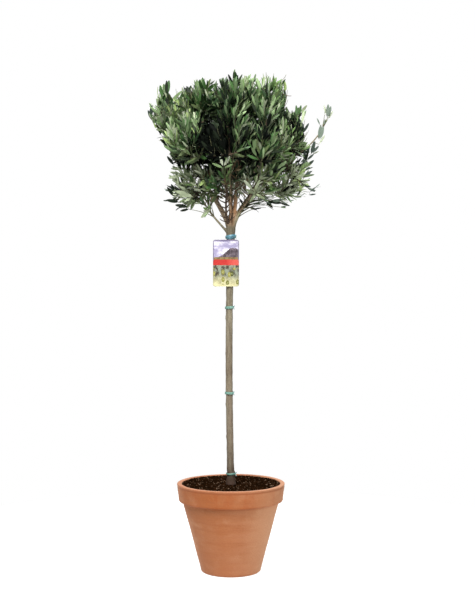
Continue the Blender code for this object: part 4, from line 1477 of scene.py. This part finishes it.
def growShoots(mass, stem, twigs, field, draw):
    # finer shoots, which leave the mass's own twigs and run on the way that the crown grows
    s = sprays
    nodes = [stem.at(i / s["stemRoots"])[:2] for i in range(1, s["stemRoots"] - 1)]
    for root, tip in twigs:
        nodes += [(root.lerp(tip, share), (tip - root).normalized()) for share in s["twigRoots"]]
    count = round(mass.litres() * s["shootsPerLitre"] * s["density"].get(mass.name, 1))
    taken = [tip for _, tip in twigs]
    targets = spreadTargets(mass, count, taken, s["draws"], s["innermost"], s["wallRoom"], draw)
    shoots = []
    for target in sorted(targets, key=mass.depth):
        way = shootWay(target)
        wish = target - way * draw.uniform(*s["lengths"])
        near = [
            ((root - wish).length, root, along)
            for root, along in nodes
            if (target - root).length > s["leastLength"]
            and (target - root).normalized().dot(way) > s["mostTurn"]
        ]
        if not near:
            continue
        _, root, along = min(near, key=lambda row: row[0])
        line = (target - root).normalized()
        if field.meetsWood(root.lerp(target, s["rootClear"]), target):
            continue
        sway = Vector([draw.uniform(-s["sway"], s["sway"]) for _ in range(3)])
        ownWay, ownLine = s["shootArrive"]
        arrive = (way * ownWay + line * ownLine + sway).normalized()
        leave = (along * s["shootLeave"] + line).normalized()
        shoot = bentLimb(root, leave, target, arrive, *s["radii"], s["pathSteps"])
        shoots.append(shoot)
        nodes += [shoot.at(share)[:2] for share in s["shootRoots"]]
    return shoots


def toneOf(place, draw):
    shares = next(row[2] for row in toneParts if depthIn(place, metres(row[0]), metres(row[1])) < 1)
    return draw.choices(list(shares), list(shares.values()))[0]


def turned(direction, across, degrees):
    # the turn of a leaf that points one way, rolled about its own length
    across = Matrix.Rotation(math.radians(degrees), 3, direction) @ across.normalized()
    return tuple(Matrix((direction, across, direction.cross(across))).transposed().to_euler())


class LeafField:
    # where every leaf goes: its place, turn, size, shape and tone
    def __init__(self, limbs):
        self.rows = []
        starts, ends, radii = zip(*(row for limb in limbs.values() for row in limb.segments()))
        self.starts = np.array(starts)
        self.lines = np.array([b - a for a, b in zip(starts, ends)])
        self.radii = np.array(radii)
        self.squares = np.sum(self.lines**2, axis=1)

    def meetsWood(self, root, tip):
        for share in sprays["woodTries"]:
            away = np.array(root.lerp(tip, share)) - self.starts
            part = np.clip(np.sum(away * self.lines, axis=1) / self.squares, 0, 1)
            apart = np.linalg.norm(away - self.lines * part[:, None], axis=1)
            if np.any(apart < self.radii + sprays["woodRoom"]):
                return True
        return False

    def add(self, place, along, out, spread, size, tone, draw, holds):
        s = leafShape
        direction = along * math.cos(spread) + out * math.sin(spread)
        direction += outwardAt(place, 0) * s["outward"] + Vector((0, 0, byHeight(place, s["lift"])))
        direction.normalize()
        across = along.cross(direction)
        if across.length < 0.15:
            across = direction.orthogonal()
        turn = turned(direction, across, draw.gauss(0, s["roll"]))
        tip = place + direction * size
        if not holds(tip) or self.meetsWood(place, tip):
            return False
        if tone in toneSteps and draw.random() < s["otherTone"]:
            step = toneSteps.index(tone) + draw.choice((-1, 1))
            tone = toneSteps[max(0, min(step, len(toneSteps) - 1))]
        self.rows.append((tuple(place), turn, size, draw.randrange(broadLeaf), tone))
        return True

    def lay(self, base, tip, tone, kind, side, draw):
        # one leaf with its broad side to the front
        roll = leafShape["laidRoll"]
        direction = (tip - base).normalized()
        turn = turned(direction, direction.cross(Vector((0, side, 0))), draw.uniform(-roll, roll))
        self.rows.append((tuple(base), turn, (tip - base).length, kind, tone))

    def dress(self, shoot, bare, pairs, length, openSpread, tone, draw, holds):
        # opposite pairs, each a quarter turn from the last, upright at the tip and open below it
        s = leafShape
        side = shoot.at(1)[1].orthogonal().normalized()
        turn = draw.uniform(0, math.pi)
        for i in range(pairs):
            place, along, _ = shoot.at(1 - (1 - bare) * i / max(1, pairs - 1))
            side = (side - along * side.dot(along)).normalized()
            wander = draw.uniform(-s["turnWander"], s["turnWander"])
            quarter = Matrix.Rotation(turn + math.radians(90 * i + wander), 3, along) @ side
            opened = (openSpread - s["tipSpread"]) * min(1, i / s["openFrom"])
            wander = draw.uniform(-s["spreadWander"], s["spreadWander"])
            spread = math.radians(s["tipSpread"] + opened + wander)
            grown = s["tipSize"] + (1 - s["tipSize"]) * min(1, i / s["fullFrom"])
            size = length * grown * draw.uniform(*s["sizes"])
            for out in (quarter, -quarter):
                if draw.random() < s["missing"]:
                    continue
                for less, narrower in s["tries"]:
                    if self.add(place, along, out, spread * narrower, size * less, tone, draw, holds):
                        break

    def mesh(self, name):
        # a point for every leaf
        places, *values = zip(*self.rows)
        mesh = meshOf(name, places)
        values[-1] = [list(leafTones).index(tone) for tone in values[-1]]
        kinds = {"turn": "FLOAT_VECTOR", "size": "FLOAT", "kind": "INT", "tone": "INT"}
        for (label, kind), column in zip(kinds.items(), values):
            addAttribute(mesh, label, kind, column)
        return mesh


def dressShoot(mass, shoot, bare, field, draw):
    # a shoot's leaves keep within its mass, some shoots further out than others
    s = leafShape
    pairs = max(2, round(shoot.length() * (1 - bare) / s["pairSpacing"])) + 1
    raggedness = draw.uniform(*s["raggedness"])
    tone = toneOf(shoot.points[-1], draw)
    length = s["length"] * draw.uniform(*s["lengths"])
    holds = lambda tip: mass.holdsLeaf(tip, raggedness)
    field.dress(shoot, bare, pairs, length, s["openSpread"], tone, draw, holds)


def growSprigs(mass, limbs, group, draw):
    s = sprays
    for limb, share, end, way, *leaves in sprigs.get(mass, ()):
        root, along, _ = limbs[limb].at(share)
        end, way = Vector(metres(end)), Vector(way).normalized()
        line = end - root
        leave = (along + line.normalized()).normalized()
        steps = max(6, round(line.length / s["ringSpacing"]))
        shoot = bentLimb(root, leave, end, way, *s["sprigRadii"], steps)
        group["lines"].append((shoot, 0))
        if leaves:
            pairs, length, *rest = leaves
            holds = lambda tip: not inOpenAir(tip)
            group["field"].dress(shoot, s["sprigBare"], pairs, length / 1000, *rest, draw, holds)


def layLeaves(mass, limbs, group, draw):
    s = sprays
    for limb, share, depth, tone, kind, side, *leaves in laidLeaves.get(mass, ()):
        root, along, _ = limbs[limb].at(share)
        bases = [pictured(x, y, depth) for x, y, _, _ in leaves]
        tips = [pictured(x, y, depth - s["laidLean"]) for _, _, x, y in leaves]
        bases, tips = zip(*sorted(zip(bases, tips), key=lambda row: (row[0] - root).length))
        line = (bases[0] - root).normalized()
        steps = max(6, round((bases[0] - root).length / s["ringSpacing"]))
        way = (tips[0] - bases[0]).normalized()
        leave, arrive = (along + line).normalized(), (line + way * s["laidTurn"]).normalized()
        shoot = bentLimb(root, leave, bases[0], arrive, *s["laidRadii"], steps)
        more = [base for base in bases[1:] if (base - bases[0]).length > s["laidApart"]]
        group["lines"].append((Limb(shoot.points + more, shoot.radii + [s["laidEnd"]] * len(more)), 0))
        for base, tip in zip(bases, tips):
            group["field"].lay(base, tip, tone, kind, side, draw)


def sideTwigs(limb, start, end, pairs, length, quarter, thick, lines, draw):
    # short bare twigs in opposite pairs, each turned by a quarter from the last or all of them to the sides
    s = sideTwigShape
    side = limb.at(start)[1].cross(Vector((0, -1, 0))).normalized()
    for i in range(pairs):
        root, along, radius = limb.at(start + (end - start) * i / (pairs - 1))
        turn = quarter * i + draw.uniform(-s["wander"], s["wander"])
        aside = Matrix.Rotation(math.radians(turn), 3, along) @ side
        for sign in (1, -1):
            out = (aside * sign + along * s["forward"]).normalized()
            tip = root + out * (length * draw.uniform(*s["lengths"]) + radius)
            arrive = (out + Vector((0, 0, s["rise"]))).normalized()
            lines.append((bentLimb(root, out, tip, arrive, thick, thick / 2, s["steps"]), 1))


def growBareTwigs(limbs, groups, draw):
    # where the lower boughs show
    for name, row in bareTwigs.items():
        sideTwigs(limbs[name], *row, *bareTwigKind, groups[mainOf(name)]["lines"], draw)
    s = forkShoot
    root, along, _ = limbs["front"].at(s["share"])
    leave = (along + Vector(s["leave"])).normalized()
    shoot = bentLimb(root, leave, pictured(*s["end"]), Vector(s["arrive"]), *s["radii"], s["steps"])
    lines = groups["front"]["lines"]
    lines.append((shoot, 1))
    sideTwigs(shoot, *s["twigs"], lines, draw)


def growHeart(limbs, group, draw):
    # the sprays' ends lie evenly over an oval
    s = heartSprays
    for i in range(s["count"]):
        level = 1 - 2 * (i + 0.5) / s["count"]
        turn = i * math.pi * (3 - math.sqrt(5))
        flat = math.sqrt(1 - level * level)
        wide, deep, high = s["reach"]
        out = Vector((flat * math.cos(turn) * wide, flat * math.sin(turn) * deep, level * high))
        low, high = s["roots"]
        root, along, _ = limbs[s["bough"]].at(low + (high - low) * (level + 1) / 2)
        way = (out.normalized() + Vector((0, 0, s["rise"]))).normalized()
        end = s["middle"] + out
        shoot = bentLimb(root, (along + way).normalized(), end, way, *s["radii"], s["steps"])
        group["lines"].append((shoot, 1))
        tone = draw.choice(s["tones"])
        group["field"].dress(shoot, s["bare"], *s["leaves"], tone, draw, lambda tip: True)


def leafMesh(name, bend, fold, twist, breadth):
    # a blade of unit length along X with its upper side towards +Z, closed, on a short stalk
    s = leafShape
    half, thick, stalk = s["width"] * breadth / 2, s["thickness"], s["stalk"]
    stalkRing = [(y * s["stalkRadius"], z * s["stalkRadius"]) for y, z in ((1, 0), (0, 1), (-1, 0), (0, -1))]
    rings = [(0, stalkRing), (stalk, stalkRing)]
    for x in s["stations"]:
        share = (x - stalk) / (1 - stalk)
        wide = half * math.sin(math.pi * share ** s["widest"]) ** s["bluntness"]
        rings.append((x, [(wide, fold * wide), (0, 0.2 * thick), (-wide, fold * wide), (0, -thick)]))
    points = []
    for x, ring in [*rings, (1, [(0, 0)])]:
        turn = twist * (x - 0.3)
        for y, z in ring:
            rise = y * math.sin(turn) + z * math.cos(turn) + bend * x * x
            points.append((x, y * math.cos(turn) - z * math.sin(turn), rise))
    faces, under = [(0, 1, 2, 3)], [True]
    for a, b, c, d in quads(len(rings), 4):
        faces.append((a, d, c, b))
        under.append(a < 4 or a % 4 > 1)
    last, tip = 4 * len(rings) - 4, len(points) - 1
    for k in range(4):
        faces.append((last + k, tip, last + (k + 1) % 4))
        under.append(k > 1)
    work = bmesh.new()
    work.from_mesh(meshOf(name, points, faces))
    bmesh.ops.recalc_face_normals(work, faces=work.faces)
    for edge in work.edges:
        edge.smooth = edge.calc_face_angle(0) < math.radians(s["sharpEdge"])
    mesh = bpy.data.meshes.new(name)
    work.to_mesh(mesh)
    work.free()
    addAttribute(mesh, "under", "BOOLEAN", under, "FACE")
    return mesh


def leafTree(looks):
    # puts a leaf on every point, by the point's turn, size and shape
    tree = Shape("leafSprays", leaves="NodeSocketCollection", leafScale="NodeSocketFloat")
    children = {0: tree.given("leaves"), "Separate Children": True, "Reset Children": True}
    leaves = {
        0: tree.given("geometry"),
        "Instance": tree.node("GeometryNodeCollectionInfo", None, children),
        "Pick Instance": True,
        "Instance Index": tree.attribute("kind", "INT"),
        "Rotation": tree.attribute("turn", "FLOAT_VECTOR"),
        "Scale": tree.attribute("size") * tree.given("leafScale"),
    }
    placed = tree.node("GeometryNodeInstanceOnPoints", None, leaves)
    tone = tree.attribute("tone", "INT")
    under = tree.attribute("under", "BOOLEAN")
    finishes = []
    for index, (upper, lower) in enumerate(looks):
        ofTone = tree.compare(tone, index)
        both = tree.node("FunctionNodeBooleanMath", {"operation": "AND"}, {0: ofTone, 1: under})
        finishes += [(upper, ofTone), (lower, both)]
    tree.end(placed, finishes)
    return tree


def twigTree(young, old):
    # draws a tapering twig along every line of the mesh
    tree = Shape("twigTubes", sides="NodeSocketInt", thickness="NodeSocketFloat")
    lines = tree.node("GeometryNodeMeshToCurve", None, {0: tree.given("geometry")})
    circle = {"Resolution": tree.given("sides"), "Radius": 1}
    ring = tree.node("GeometryNodeCurvePrimitiveCircle", None, circle)
    scale = tree.attribute("radius") * tree.given("thickness")
    sockets = {0: lines, "Profile Curve": ring, "Scale": scale, "Fill Caps": True}
    tubes = tree.node("GeometryNodeCurveToMesh", None, sockets)
    smooth = tree.node("GeometryNodeSetShadeSmooth", None, {0: tubes})
    tree.end(smooth, [(old, None), (young, tree.compare(tree.attribute("age", "INT"), 0))])
    return tree


def lineMesh(name, limbs):
    # loose lines with a radius and an age at each point
    mesh = lineOf(name, *(limb.points for limb, _ in limbs))
    addAttribute(mesh, "radius", "FLOAT", [radius for limb, _ in limbs for radius in limb.radii])
    addAttribute(mesh, "age", "INT", [age for limb, age in limbs for _ in limb.points])
    return mesh


def growMass(index, name, limbs, group):
    # one mass: its stem, single sprays, laid leaves, twigs and shoots
    s = sprays
    mass = Mass(name)
    stem = stemLimb(mass, limbs)
    twigs = growTwigs(mass, stem, limbs, random.Random(growthRule["seed"] + 10 * index))
    draw = random.Random(s["seed"] + index)
    field, lines = group["field"], group["lines"]
    group["masses"].append(name)
    lines.append((stem.finer(s["ringSpacing"]), 1))
    wood = {"stem": stem, **limbs}
    growSprigs(name, wood, group, draw)
    layLeaves(name, wood, group, random.Random(s["seed"] + 50 + index))
    if name in s["sprigsOnly"]:
        return
    dressShoot(mass, stem, s["stemBare"], field, draw)
    for root, tip in twigs:
        line = (tip - root).normalized()
        way = (line + shootWay(tip) * s["twigTurn"]).normalized()
        twig = bentLimb(root, line, tip, way, *s["twigRadii"], s["twigSteps"])
        lines.append((twig, 1))
        dressShoot(mass, twig, s["twigBare"], field, draw)
    for shoot in growShoots(mass, stem, twigs, field, draw):
        leafless = draw.random() < s["leafless"].get(name, 0)
        lines.append((shoot, int(leafless)))
        if not leafless:
            dressShoot(mass, shoot, s["bare"], field, draw)


def buildFoliage(limbs, looks, young, old):
    holder = bpy.data.collections.new("leafKinds")
    for i, bend in enumerate(leafBends):
        holder.objects.link(bpy.data.objects.new(f"leaf{i}", leafMesh(f"leaf{i}", *bend)))
    leaves, twigTubes = leafTree(looks), twigTree(young, old)
    groups = {}
    for index, name in enumerate(massRule):
        empty = {"field": LeafField(limbs), "lines": [], "masses": []}
        growMass(index, name, limbs, groups.setdefault(mainOf(massRule[name][0]), empty))
    growBareTwigs(limbs, groups, random.Random(sprays["seed"] - 1))
    growHeart(limbs, groups[heartSprays["bough"]], random.Random(heartSprays["seed"]))
    for bough, group in groups.items():
        label = "".join(word.capitalize() for word in bough.split("_"))
        masses = solidNames("foliage", group["masses"])
        points = addObject("leaves" + label, group["field"].mesh("leaves" + label))
        finishPiece(leaves.applied(points, leaves=holder, leafScale=1.0), masses)
        print("  ", len(group["field"].rows), "leaves on", len(group["lines"]), "shoots")
        lines = addObject("twigs" + label, lineMesh("twigs" + label, group["lines"]))
        finishPiece(twigTubes.applied(lines, sides=6, thickness=1.0), masses)


def leafPair(name, upper, lower):
    # the looks of a leaf's upper and lower side
    rough, shine, shineBelow = leafGloss.get(name, plainGloss)
    sides = ((name + "Upper", upper, rough, shine), (name + "Under", lower, underRough, shineBelow))
    return [
        Look(label).set(Base_Color=linear(*colour), Roughness=dull, Specular_IOR_Level=bright)
        for label, colour, dull, bright in sides
    ]


# Ties

# each tie: the tape's turns and width, how far it climbs and how far it slants
tieShape = {
    "rounds": {
        "tie_top": (3, 0.0058, 0.005, 0.0022), "tie_upper": (2, 0.0062, 0.0016, 0.0006),
        "tie_middle": (2, 0.0062, 0.0016, -0.0006), "tie_foot": (2, 0.0044, 0.001, 0.0004),
    },
    "thickness": 0.0007,
    "softening": 0.00018,
    "play": 0.0013,           # between the trunk and the tape, and how much each round adds
    "roundAdds": 0.0006,
    "wander": 0.0003,
    "starts": (20, 60),       # where a tape may begin round the trunk, in degrees
    "drift": 2.2,             # how far its slant drifts along it
    "stepsPerTurn": 40,
    "knotTurn": -32,          # where the knot sits round the trunk, in degrees from +X
    "knotStandsOut": 0.0026,
    "knotRadius": 0.0022,
    "knotLoops": 2.4,
    "knotSteps": 30,
    "knotFlat": 0.9,          # its height to its width
    "knotClosing": 0.012,     # how much narrower each step is
    "knotWave": 0.0014,
    "knotWaveSteps": 13,
    "strand": 0.0009,
    "tail": 0.0075,
    "tailWays": ((0.9, -0.8), (0.5, 0.9)),
    "seed": 3,
}


def tapeTree(plastic):
    # a flat tape along a line, standing on the line's tilt
    tree = Shape("tapeRounds", width="NodeSocketFloat", thickness="NodeSocketFloat")
    lines = tree.node("GeometryNodeMeshToCurve", None, {0: tree.given("geometry")})
    upright = tree.node("GeometryNodeSetCurveNormal", None, {0: lines})
    sides = {0: tree.given("thickness"), 1: tree.given("width")}
    strip = tree.node("GeometryNodeCurvePrimitiveQuadrilateral", {"mode": "RECTANGLE"}, sides)
    tape = tree.node("GeometryNodeCurveToMesh", None, {0: upright, "Profile Curve": strip, "Fill Caps": True})
    tree.end(tape, [(plastic, None)])
    return tree


def trunkAt(trunk, height):
    for i, (low, high, _) in enumerate(trunk.segments()):
        if low.z <= height <= high.z:
            part = (height - low.z) / (high.z - low.z)
            return low.lerp(high, part), trunk.radii[i] + (trunk.radii[i + 1] - trunk.radii[i]) * part
    raise ValueError(f"{height} m isn't on the trunk")


def knotParts(centre, radius):
    # a small knot against the trunk and its two loose ends
    s = tieShape
    turn = math.radians(s["knotTurn"])
    out = Vector((math.cos(turn), math.sin(turn), 0))
    side, up = Vector((-out.y, out.x, 0)), Vector((0, 0, 1))
    middle = centre + out * (radius + s["knotStandsOut"])
    loop = []
    for i in range(s["knotSteps"] + 1):
        turn = s["knotLoops"] * math.tau * i / s["knotSteps"]
        across = side * s["knotRadius"] * math.cos(turn) * (1 - s["knotClosing"] * i)
        above = up * s["knotRadius"] * s["knotFlat"] * math.sin(turn)
        wave = out * s["knotWave"] * math.sin(math.tau * i / s["knotWaveSteps"])
        loop.append(middle + across + above + wave)
    yield loop
    for lean, rise in s["tailWays"]:
        way = (out * 0.8 - side * lean * 0.3 + up * rise).normalized() * s["tail"]
        yield curve(middle, middle + out * 0.002, middle + way * 0.7, middle + way, 8)


def buildTies(trunk, pale, blue, knotted):
    s = tieShape
    draw = random.Random(s["seed"])
    blueTape, paleTape = tapeTree(blue), tapeTree(pale)
    knots = []
    for name, (turns, width, climb, slant) in s["rounds"].items():
        low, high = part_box(name)
        middle = (low[2] + high[2]) / 2
        points = []
        count = turns * s["stepsPerTurn"]
        start = math.radians(draw.uniform(*s["starts"]))
        for i in range(count + 1):
            share = i / count
            turn = start + math.tau * turns * share
            height = middle + (share - 0.5) * climb + slant * math.sin(turn + s["drift"] * share)
            centre, radius = trunkAt(trunk, height)
            wander = s["wander"] * noise.noise((share * 9 * turns, middle * 50, 0))
            out = radius + s["play"] + s["roundAdds"] * share * turns + wander
            points.append((centre.x + out * math.cos(turn), centre.y + out * math.sin(turn), height))
        tape = blueTape if name == "tie_top" else paleTape
        label = "tape" + name.split("_")[1].capitalize()
        piece = tape.applied(addObject(label, lineOf(name, points)), width=width, thickness=s["thickness"])
        bevel = piece.modifiers.new("Soften", "BEVEL")
        bevel.width = s["softening"]
        bevel.segments = 2
        finishPiece(plainMesh(piece), [name])
        strands = knotParts(*trunkAt(trunk, middle))
        knots += [tubeParts(strand, [s["strand"]] * len(strand), 8) for strand in strands]
    finishPiece(addObject("tieKnots", joinParts("tieKnots", knots), knotted), s["rounds"])


def tieLook(name, deep, pale):
    look = Look(name)
    crease = look.noise(160, 3, (1, 1, 0.4))
    look.set(Roughness=look.ramp(crease, (0.3, 0.32), (0.7, 0.55)), Normal=look.bump(crease, 0.0005, 0.5))
    return look.set(Base_Color=look.blend(look.noise(90, 3), 0.4, 0.62, deep, pale))


# Hanging card

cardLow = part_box("label")[0]
cardShape = {
    "width": 0.072,
    "height": 0.13,
    "thickness": 0.0008,
    "corner": 0.006,
    "cornerLevels": (0, 0.0004, 0.0012, 0.0025, 0.0042),
    "curl": 0.0022,
    "curlAtTop": 0.4,         # the share of the curl there
    "wave": 0.0006,
    "wavesPerMetre": 46,
    "shift": -0.0125,
    "strapHeight": 0.9165,
    "strapWidth": 0.006,
    "strapThickness": 0.001,
    "strapPlay": 0.0016,
    "strapSteps": 48,
    "columns": 18,
    "rows": 44,
}


def cardHalfWidth(fromEnd):
    # the rounded corners narrow the card near its top and bottom
    corner = cardShape["corner"]
    inset = max(0, corner - fromEnd)
    return cardShape["width"] / 2 - corner + math.sqrt(corner**2 - inset**2)


def buildCard(trunk, printed, plain):
    s = cardShape
    centre, _ = trunkAt(trunk, s["strapHeight"])
    front = cardLow[1] + s["thickness"] / 2
    between = taper(s["corner"], s["height"] - s["corner"], s["rows"])
    levels = [*s["cornerLevels"], *between, *(s["height"] - level for level in reversed(s["cornerLevels"]))]
    wide = s["columns"] + 1
    points = []
    for level in levels:
        half = cardHalfWidth(min(level, s["height"] - level))
        for i in range(wide):
            across = half * (-1 + 2 * i / s["columns"])
            grown = s["curlAtTop"] + (1 - s["curlAtTop"]) * level / s["height"]
            curl = s["curl"] * (across / (s["width"] / 2)) ** 2 * grown
            depth = front + curl + s["wave"] * math.sin(level * s["wavesPerMetre"])
            points.append((centre.x + s["shift"] + across, depth, cardLow[2] + s["height"] - level))
    faces = [(a, d, c, b) for a, b, c, d in quads(len(levels), wide) if b > a]
    card = addObject("hangingCard", meshOf("hangingCard", points, faces), printed, plain)
    solid = card.modifiers.new("Thickness", "SOLIDIFY")
    solid.thickness = s["thickness"]
    solid.offset = 0
    solid.material_offset = solid.material_offset_rim = 1
    finishPiece(plainMesh(card), ["label"])


def buildStrap(trunk, plain):
    # a flat band round the trunk
    s = cardShape
    centre, radius = trunkAt(trunk, s["strapHeight"])
    places = []
    for i in range(s["strapSteps"]):
        turn = math.tau * i / s["strapSteps"]
        outward = Vector((math.cos(turn), math.sin(turn), 0))
        for across, up in ((-1, -1), (1, -1), (1, 1), (-1, 1)):
            point = centre + outward * (radius + s["strapPlay"] + across * s["strapThickness"] / 2)
            places.append((point.x, point.y, s["strapHeight"] + up * s["strapWidth"] / 2))
    rings = quads(s["strapSteps"] + 1, 4)
    faces = [tuple(i % len(places) for i in (a, d, c, b)) for a, b, c, d in rings]
    band = addObject("cardStrap", meshOf("cardStrap", places, faces), plain)
    band.data.shade_flat()
    finishPiece(band, ["label"])


def cardLook():
    # a plain printed design: a cloudy sky over a hill, a red band, and a field with ovals
    look = Look("printedCard")
    s = cardShape
    x = (look.axis("X") - (trunkAt(trunkLimb(60), s["strapHeight"])[0].x + s["shift"])) / (s["width"] / 2)
    z = (look.axis("Z") - cardLow[2]) / s["height"]
    haze = look.noise(60, 3)
    sky = look.blend(look.noise(34, 3, (1, 0, 2.2)), 0.42, 0.6, (146, 140, 168), (218, 214, 224))
    hill = 0.655 + 0.105 * x.maths("SINE", x * 2.1 + 0.4) + haze * 0.1
    hills = look.blend(look.noise(120, 4), 0.4, 0.62, (60, 50, 56), (108, 96, 104))
    grass = look.blend(look.noise(150, 3), 0.4, 0.6, (100, 80, 48), (126, 106, 66))
    design = look.mix(z < 0.615 + 0.02 * haze, look.mix(z < hill, sky, hills), grass)
    shade = look.blend(look.noise(70, 4, (1.6, 0, 0.8), 0.6), 0.42, 0.56, (54, 46, 34), (124, 130, 112))
    field = look.mix(look.ramp(z + haze * 0.3, (0.16, 0), (0.42, 1)), linear(198, 192, 146), shade)
    design = look.mix(z < 0.46, design, field)
    band = look.mix(look.ramp(x, (0, 1), (0.6, 0)), linear(186, 74, 64), linear(168, 38, 32))
    design = look.mix((z < 0.575) * (z > 0.455), design, band)
    flat = look.node("ShaderNodeCombineXYZ", None, {0: look.axis("X"), 1: look.axis("Z") * 0.66})
    ovals = {"Vector": flat, "Scale": 72, "Randomness": 0.7}
    spots = look.node("ShaderNodeTexVoronoi", {"voronoi_dimensions": "2D"}, ovals)
    kinds = look.node("ShaderNodeTexVoronoi", {"voronoi_dimensions": "2D"}, ovals, out="Color")
    kind = look.node("ShaderNodeSeparateXYZ", None, {0: kinds})
    oval = look.blend(kind, 0.3, 0.7, (66, 70, 30), (132, 128, 62))
    oval = look.mix(look.ramp(spots, (0.05, 0.5), (0.16, 0)), oval, linear(188, 188, 128))
    design = look.mix((spots < 0.34) * (z < 0.4) * (z > 0.04) * (kind > 0.25), design, oval)
    sides = (x.maths("ABSOLUTE", x) > 0.94) * (z > 0.55)
    design = look.mix(sides.maths("MAXIMUM", sides, z > 0.965) * 0.85, design, linear(100, 92, 120))
    look.set(Roughness=0.38, Normal=look.bump(haze, 0.0006, 0.15), Coat_Weight=0.2, Coat_Roughness=0.25)
    return look.set(Base_Color=design)


def plainCardLook():
    look = Look("cardBack")
    fibre = look.noise(300, 3)
    colour = look.blend(fibre, 0.4, 0.6, (222, 218, 206), (236, 234, 226))
    return look.set(Base_Color=colour, Roughness=0.5, Normal=look.bump(fibre, 0.0003, 0.3))


# Making the object

limbs = growLimbs()
buildPot(clayLook())
buildCompost(
    compostLook("darkCompost", (12, 6, 2), (32, 18, 8), 0.0012),
    compostLook("warmCompost", (24, 12, 5), (52, 30, 13), 0.001),
    compostLook("fibre", (64, 50, 38), (106, 88, 72), 0.0008),
)
print("pot and compost made")
buildBark(limbs, limbLook("oliveBark", (134, 127, 107), (106, 98, 79), (70, 61, 48), 210))
print("bark made")
leafLooks = [leafPair(name, *colours) for name, colours in leafTones.items()]
youngTwig, _ = barkLook("youngTwig", (112, 112, 80), (84, 86, 58), (60, 60, 42), 500)
oldTwig, _ = barkLook("oldTwig", (100, 82, 64), (70, 55, 44), (38, 29, 24), 380)
buildFoliage(limbs, leafLooks, youngTwig.material, oldTwig.material)
print("foliage made")
buildTies(
    limbs["trunk"],
    tieLook("tealTape", (84, 124, 112), (112, 146, 132)),
    tieLook("blueTape", (52, 102, 118), (94, 138, 152)),
    tieLook("tapeKnot", (70, 112, 108), (112, 146, 140)),
)
cardPlain = plainCardLook()
buildCard(limbs["trunk"], cardLook(), cardPlain)
buildStrap(limbs["trunk"], cardPlain)
print("ties and card made")


# Floor, light and camera

stageSet = {
    "floorRadius": 1.25,
    "floorSides": 96,
    "floorGlow": 0.8,        # keeps the floor white, with only a faint shade near the pot
    "roomLight": ((0, 0.05), (0.5, 0.26), (1, 0.5)),      # from below, from the side and from above
    # each lamp's place, the height that it looks at, its size and its power
    "lamps": {
        "overhead": ((-0.6, -2.1, 3.5), 1.2, 2, 262),
        "side": ((2.6, -2.8, 1.5), 0.5, 2, 62),
        "behind": ((0.9, 2.8, 2.6), 1.1, 2.4, 105),
    },
}


def buildFloor():
    radius, sides = stageSet["floorRadius"], stageSet["floorSides"]
    turns = [math.tau * i / sides for i in range(sides)]
    edge = [(radius * math.cos(turn), radius * math.sin(turn), 0) for turn in turns]
    look = Look("paleFloor")
    look.set(Base_Color=look.mix(look.noise(3), (0.33, 0.33, 0.33), (0.37, 0.37, 0.37)), Roughness=0.9)
    look.set(Emission_Color=(1, 1, 1), Emission_Strength=stageSet["floorGlow"])
    addObject("floor", meshOf("floor", edge, [tuple(range(sides))]), look.material)


def softLight(name, place, height, size, power):
    lamp = bpy.data.lights.new(name, "AREA")
    lamp.shape = "DISK"
    lamp.size = size
    lamp.energy = power
    made = addObject(name, lamp)
    made.location = place
    made.rotation_euler = (Vector((0, 0, height)) - Vector(place)).to_track_quat("-Z", "Y").to_euler()


def buildWorld():
    # a white room, brighter above than below
    world = bpy.data.worlds.new("studio")
    bpy.context.scene.world = world
    world.use_nodes = True
    nodes = Nodes(world.node_tree)
    seen = nodes.node("ShaderNodeLightPath", out="Is Camera Ray")
    way = nodes.node("ShaderNodeTexCoord", out="Generated")
    height = nodes.node("ShaderNodeSeparateXYZ", None, {0: way}, out="Z")
    room = nodes.node("ShaderNodeValToRGB", {"stops": stageSet["roomLight"]}, {0: height * 0.5 + 0.5})
    background = world.node_tree.nodes["Background"].inputs
    nodes.feed(background["Color"], (1, 1, 1))
    nodes.feed(background["Strength"], seen + (1 - seen) * room)


buildFloor()
buildWorld()
for name, lamp in stageSet["lamps"].items():
    softLight(name, *lamp)
bpy.context.scene.view_settings.view_transform = "Standard"

cameraData = bpy.data.cameras.new("camera")
cameraData.lens = view["lens"]
cameraData.sensor_width = view["sensor"]
camera = addObject("camera", cameraData)
camera.location = view["place"]
camera.rotation_euler = (math.radians(view["tilt"]), 0, 0)
bpy.context.scene.camera = camera

bpy.context.view_layer.update()
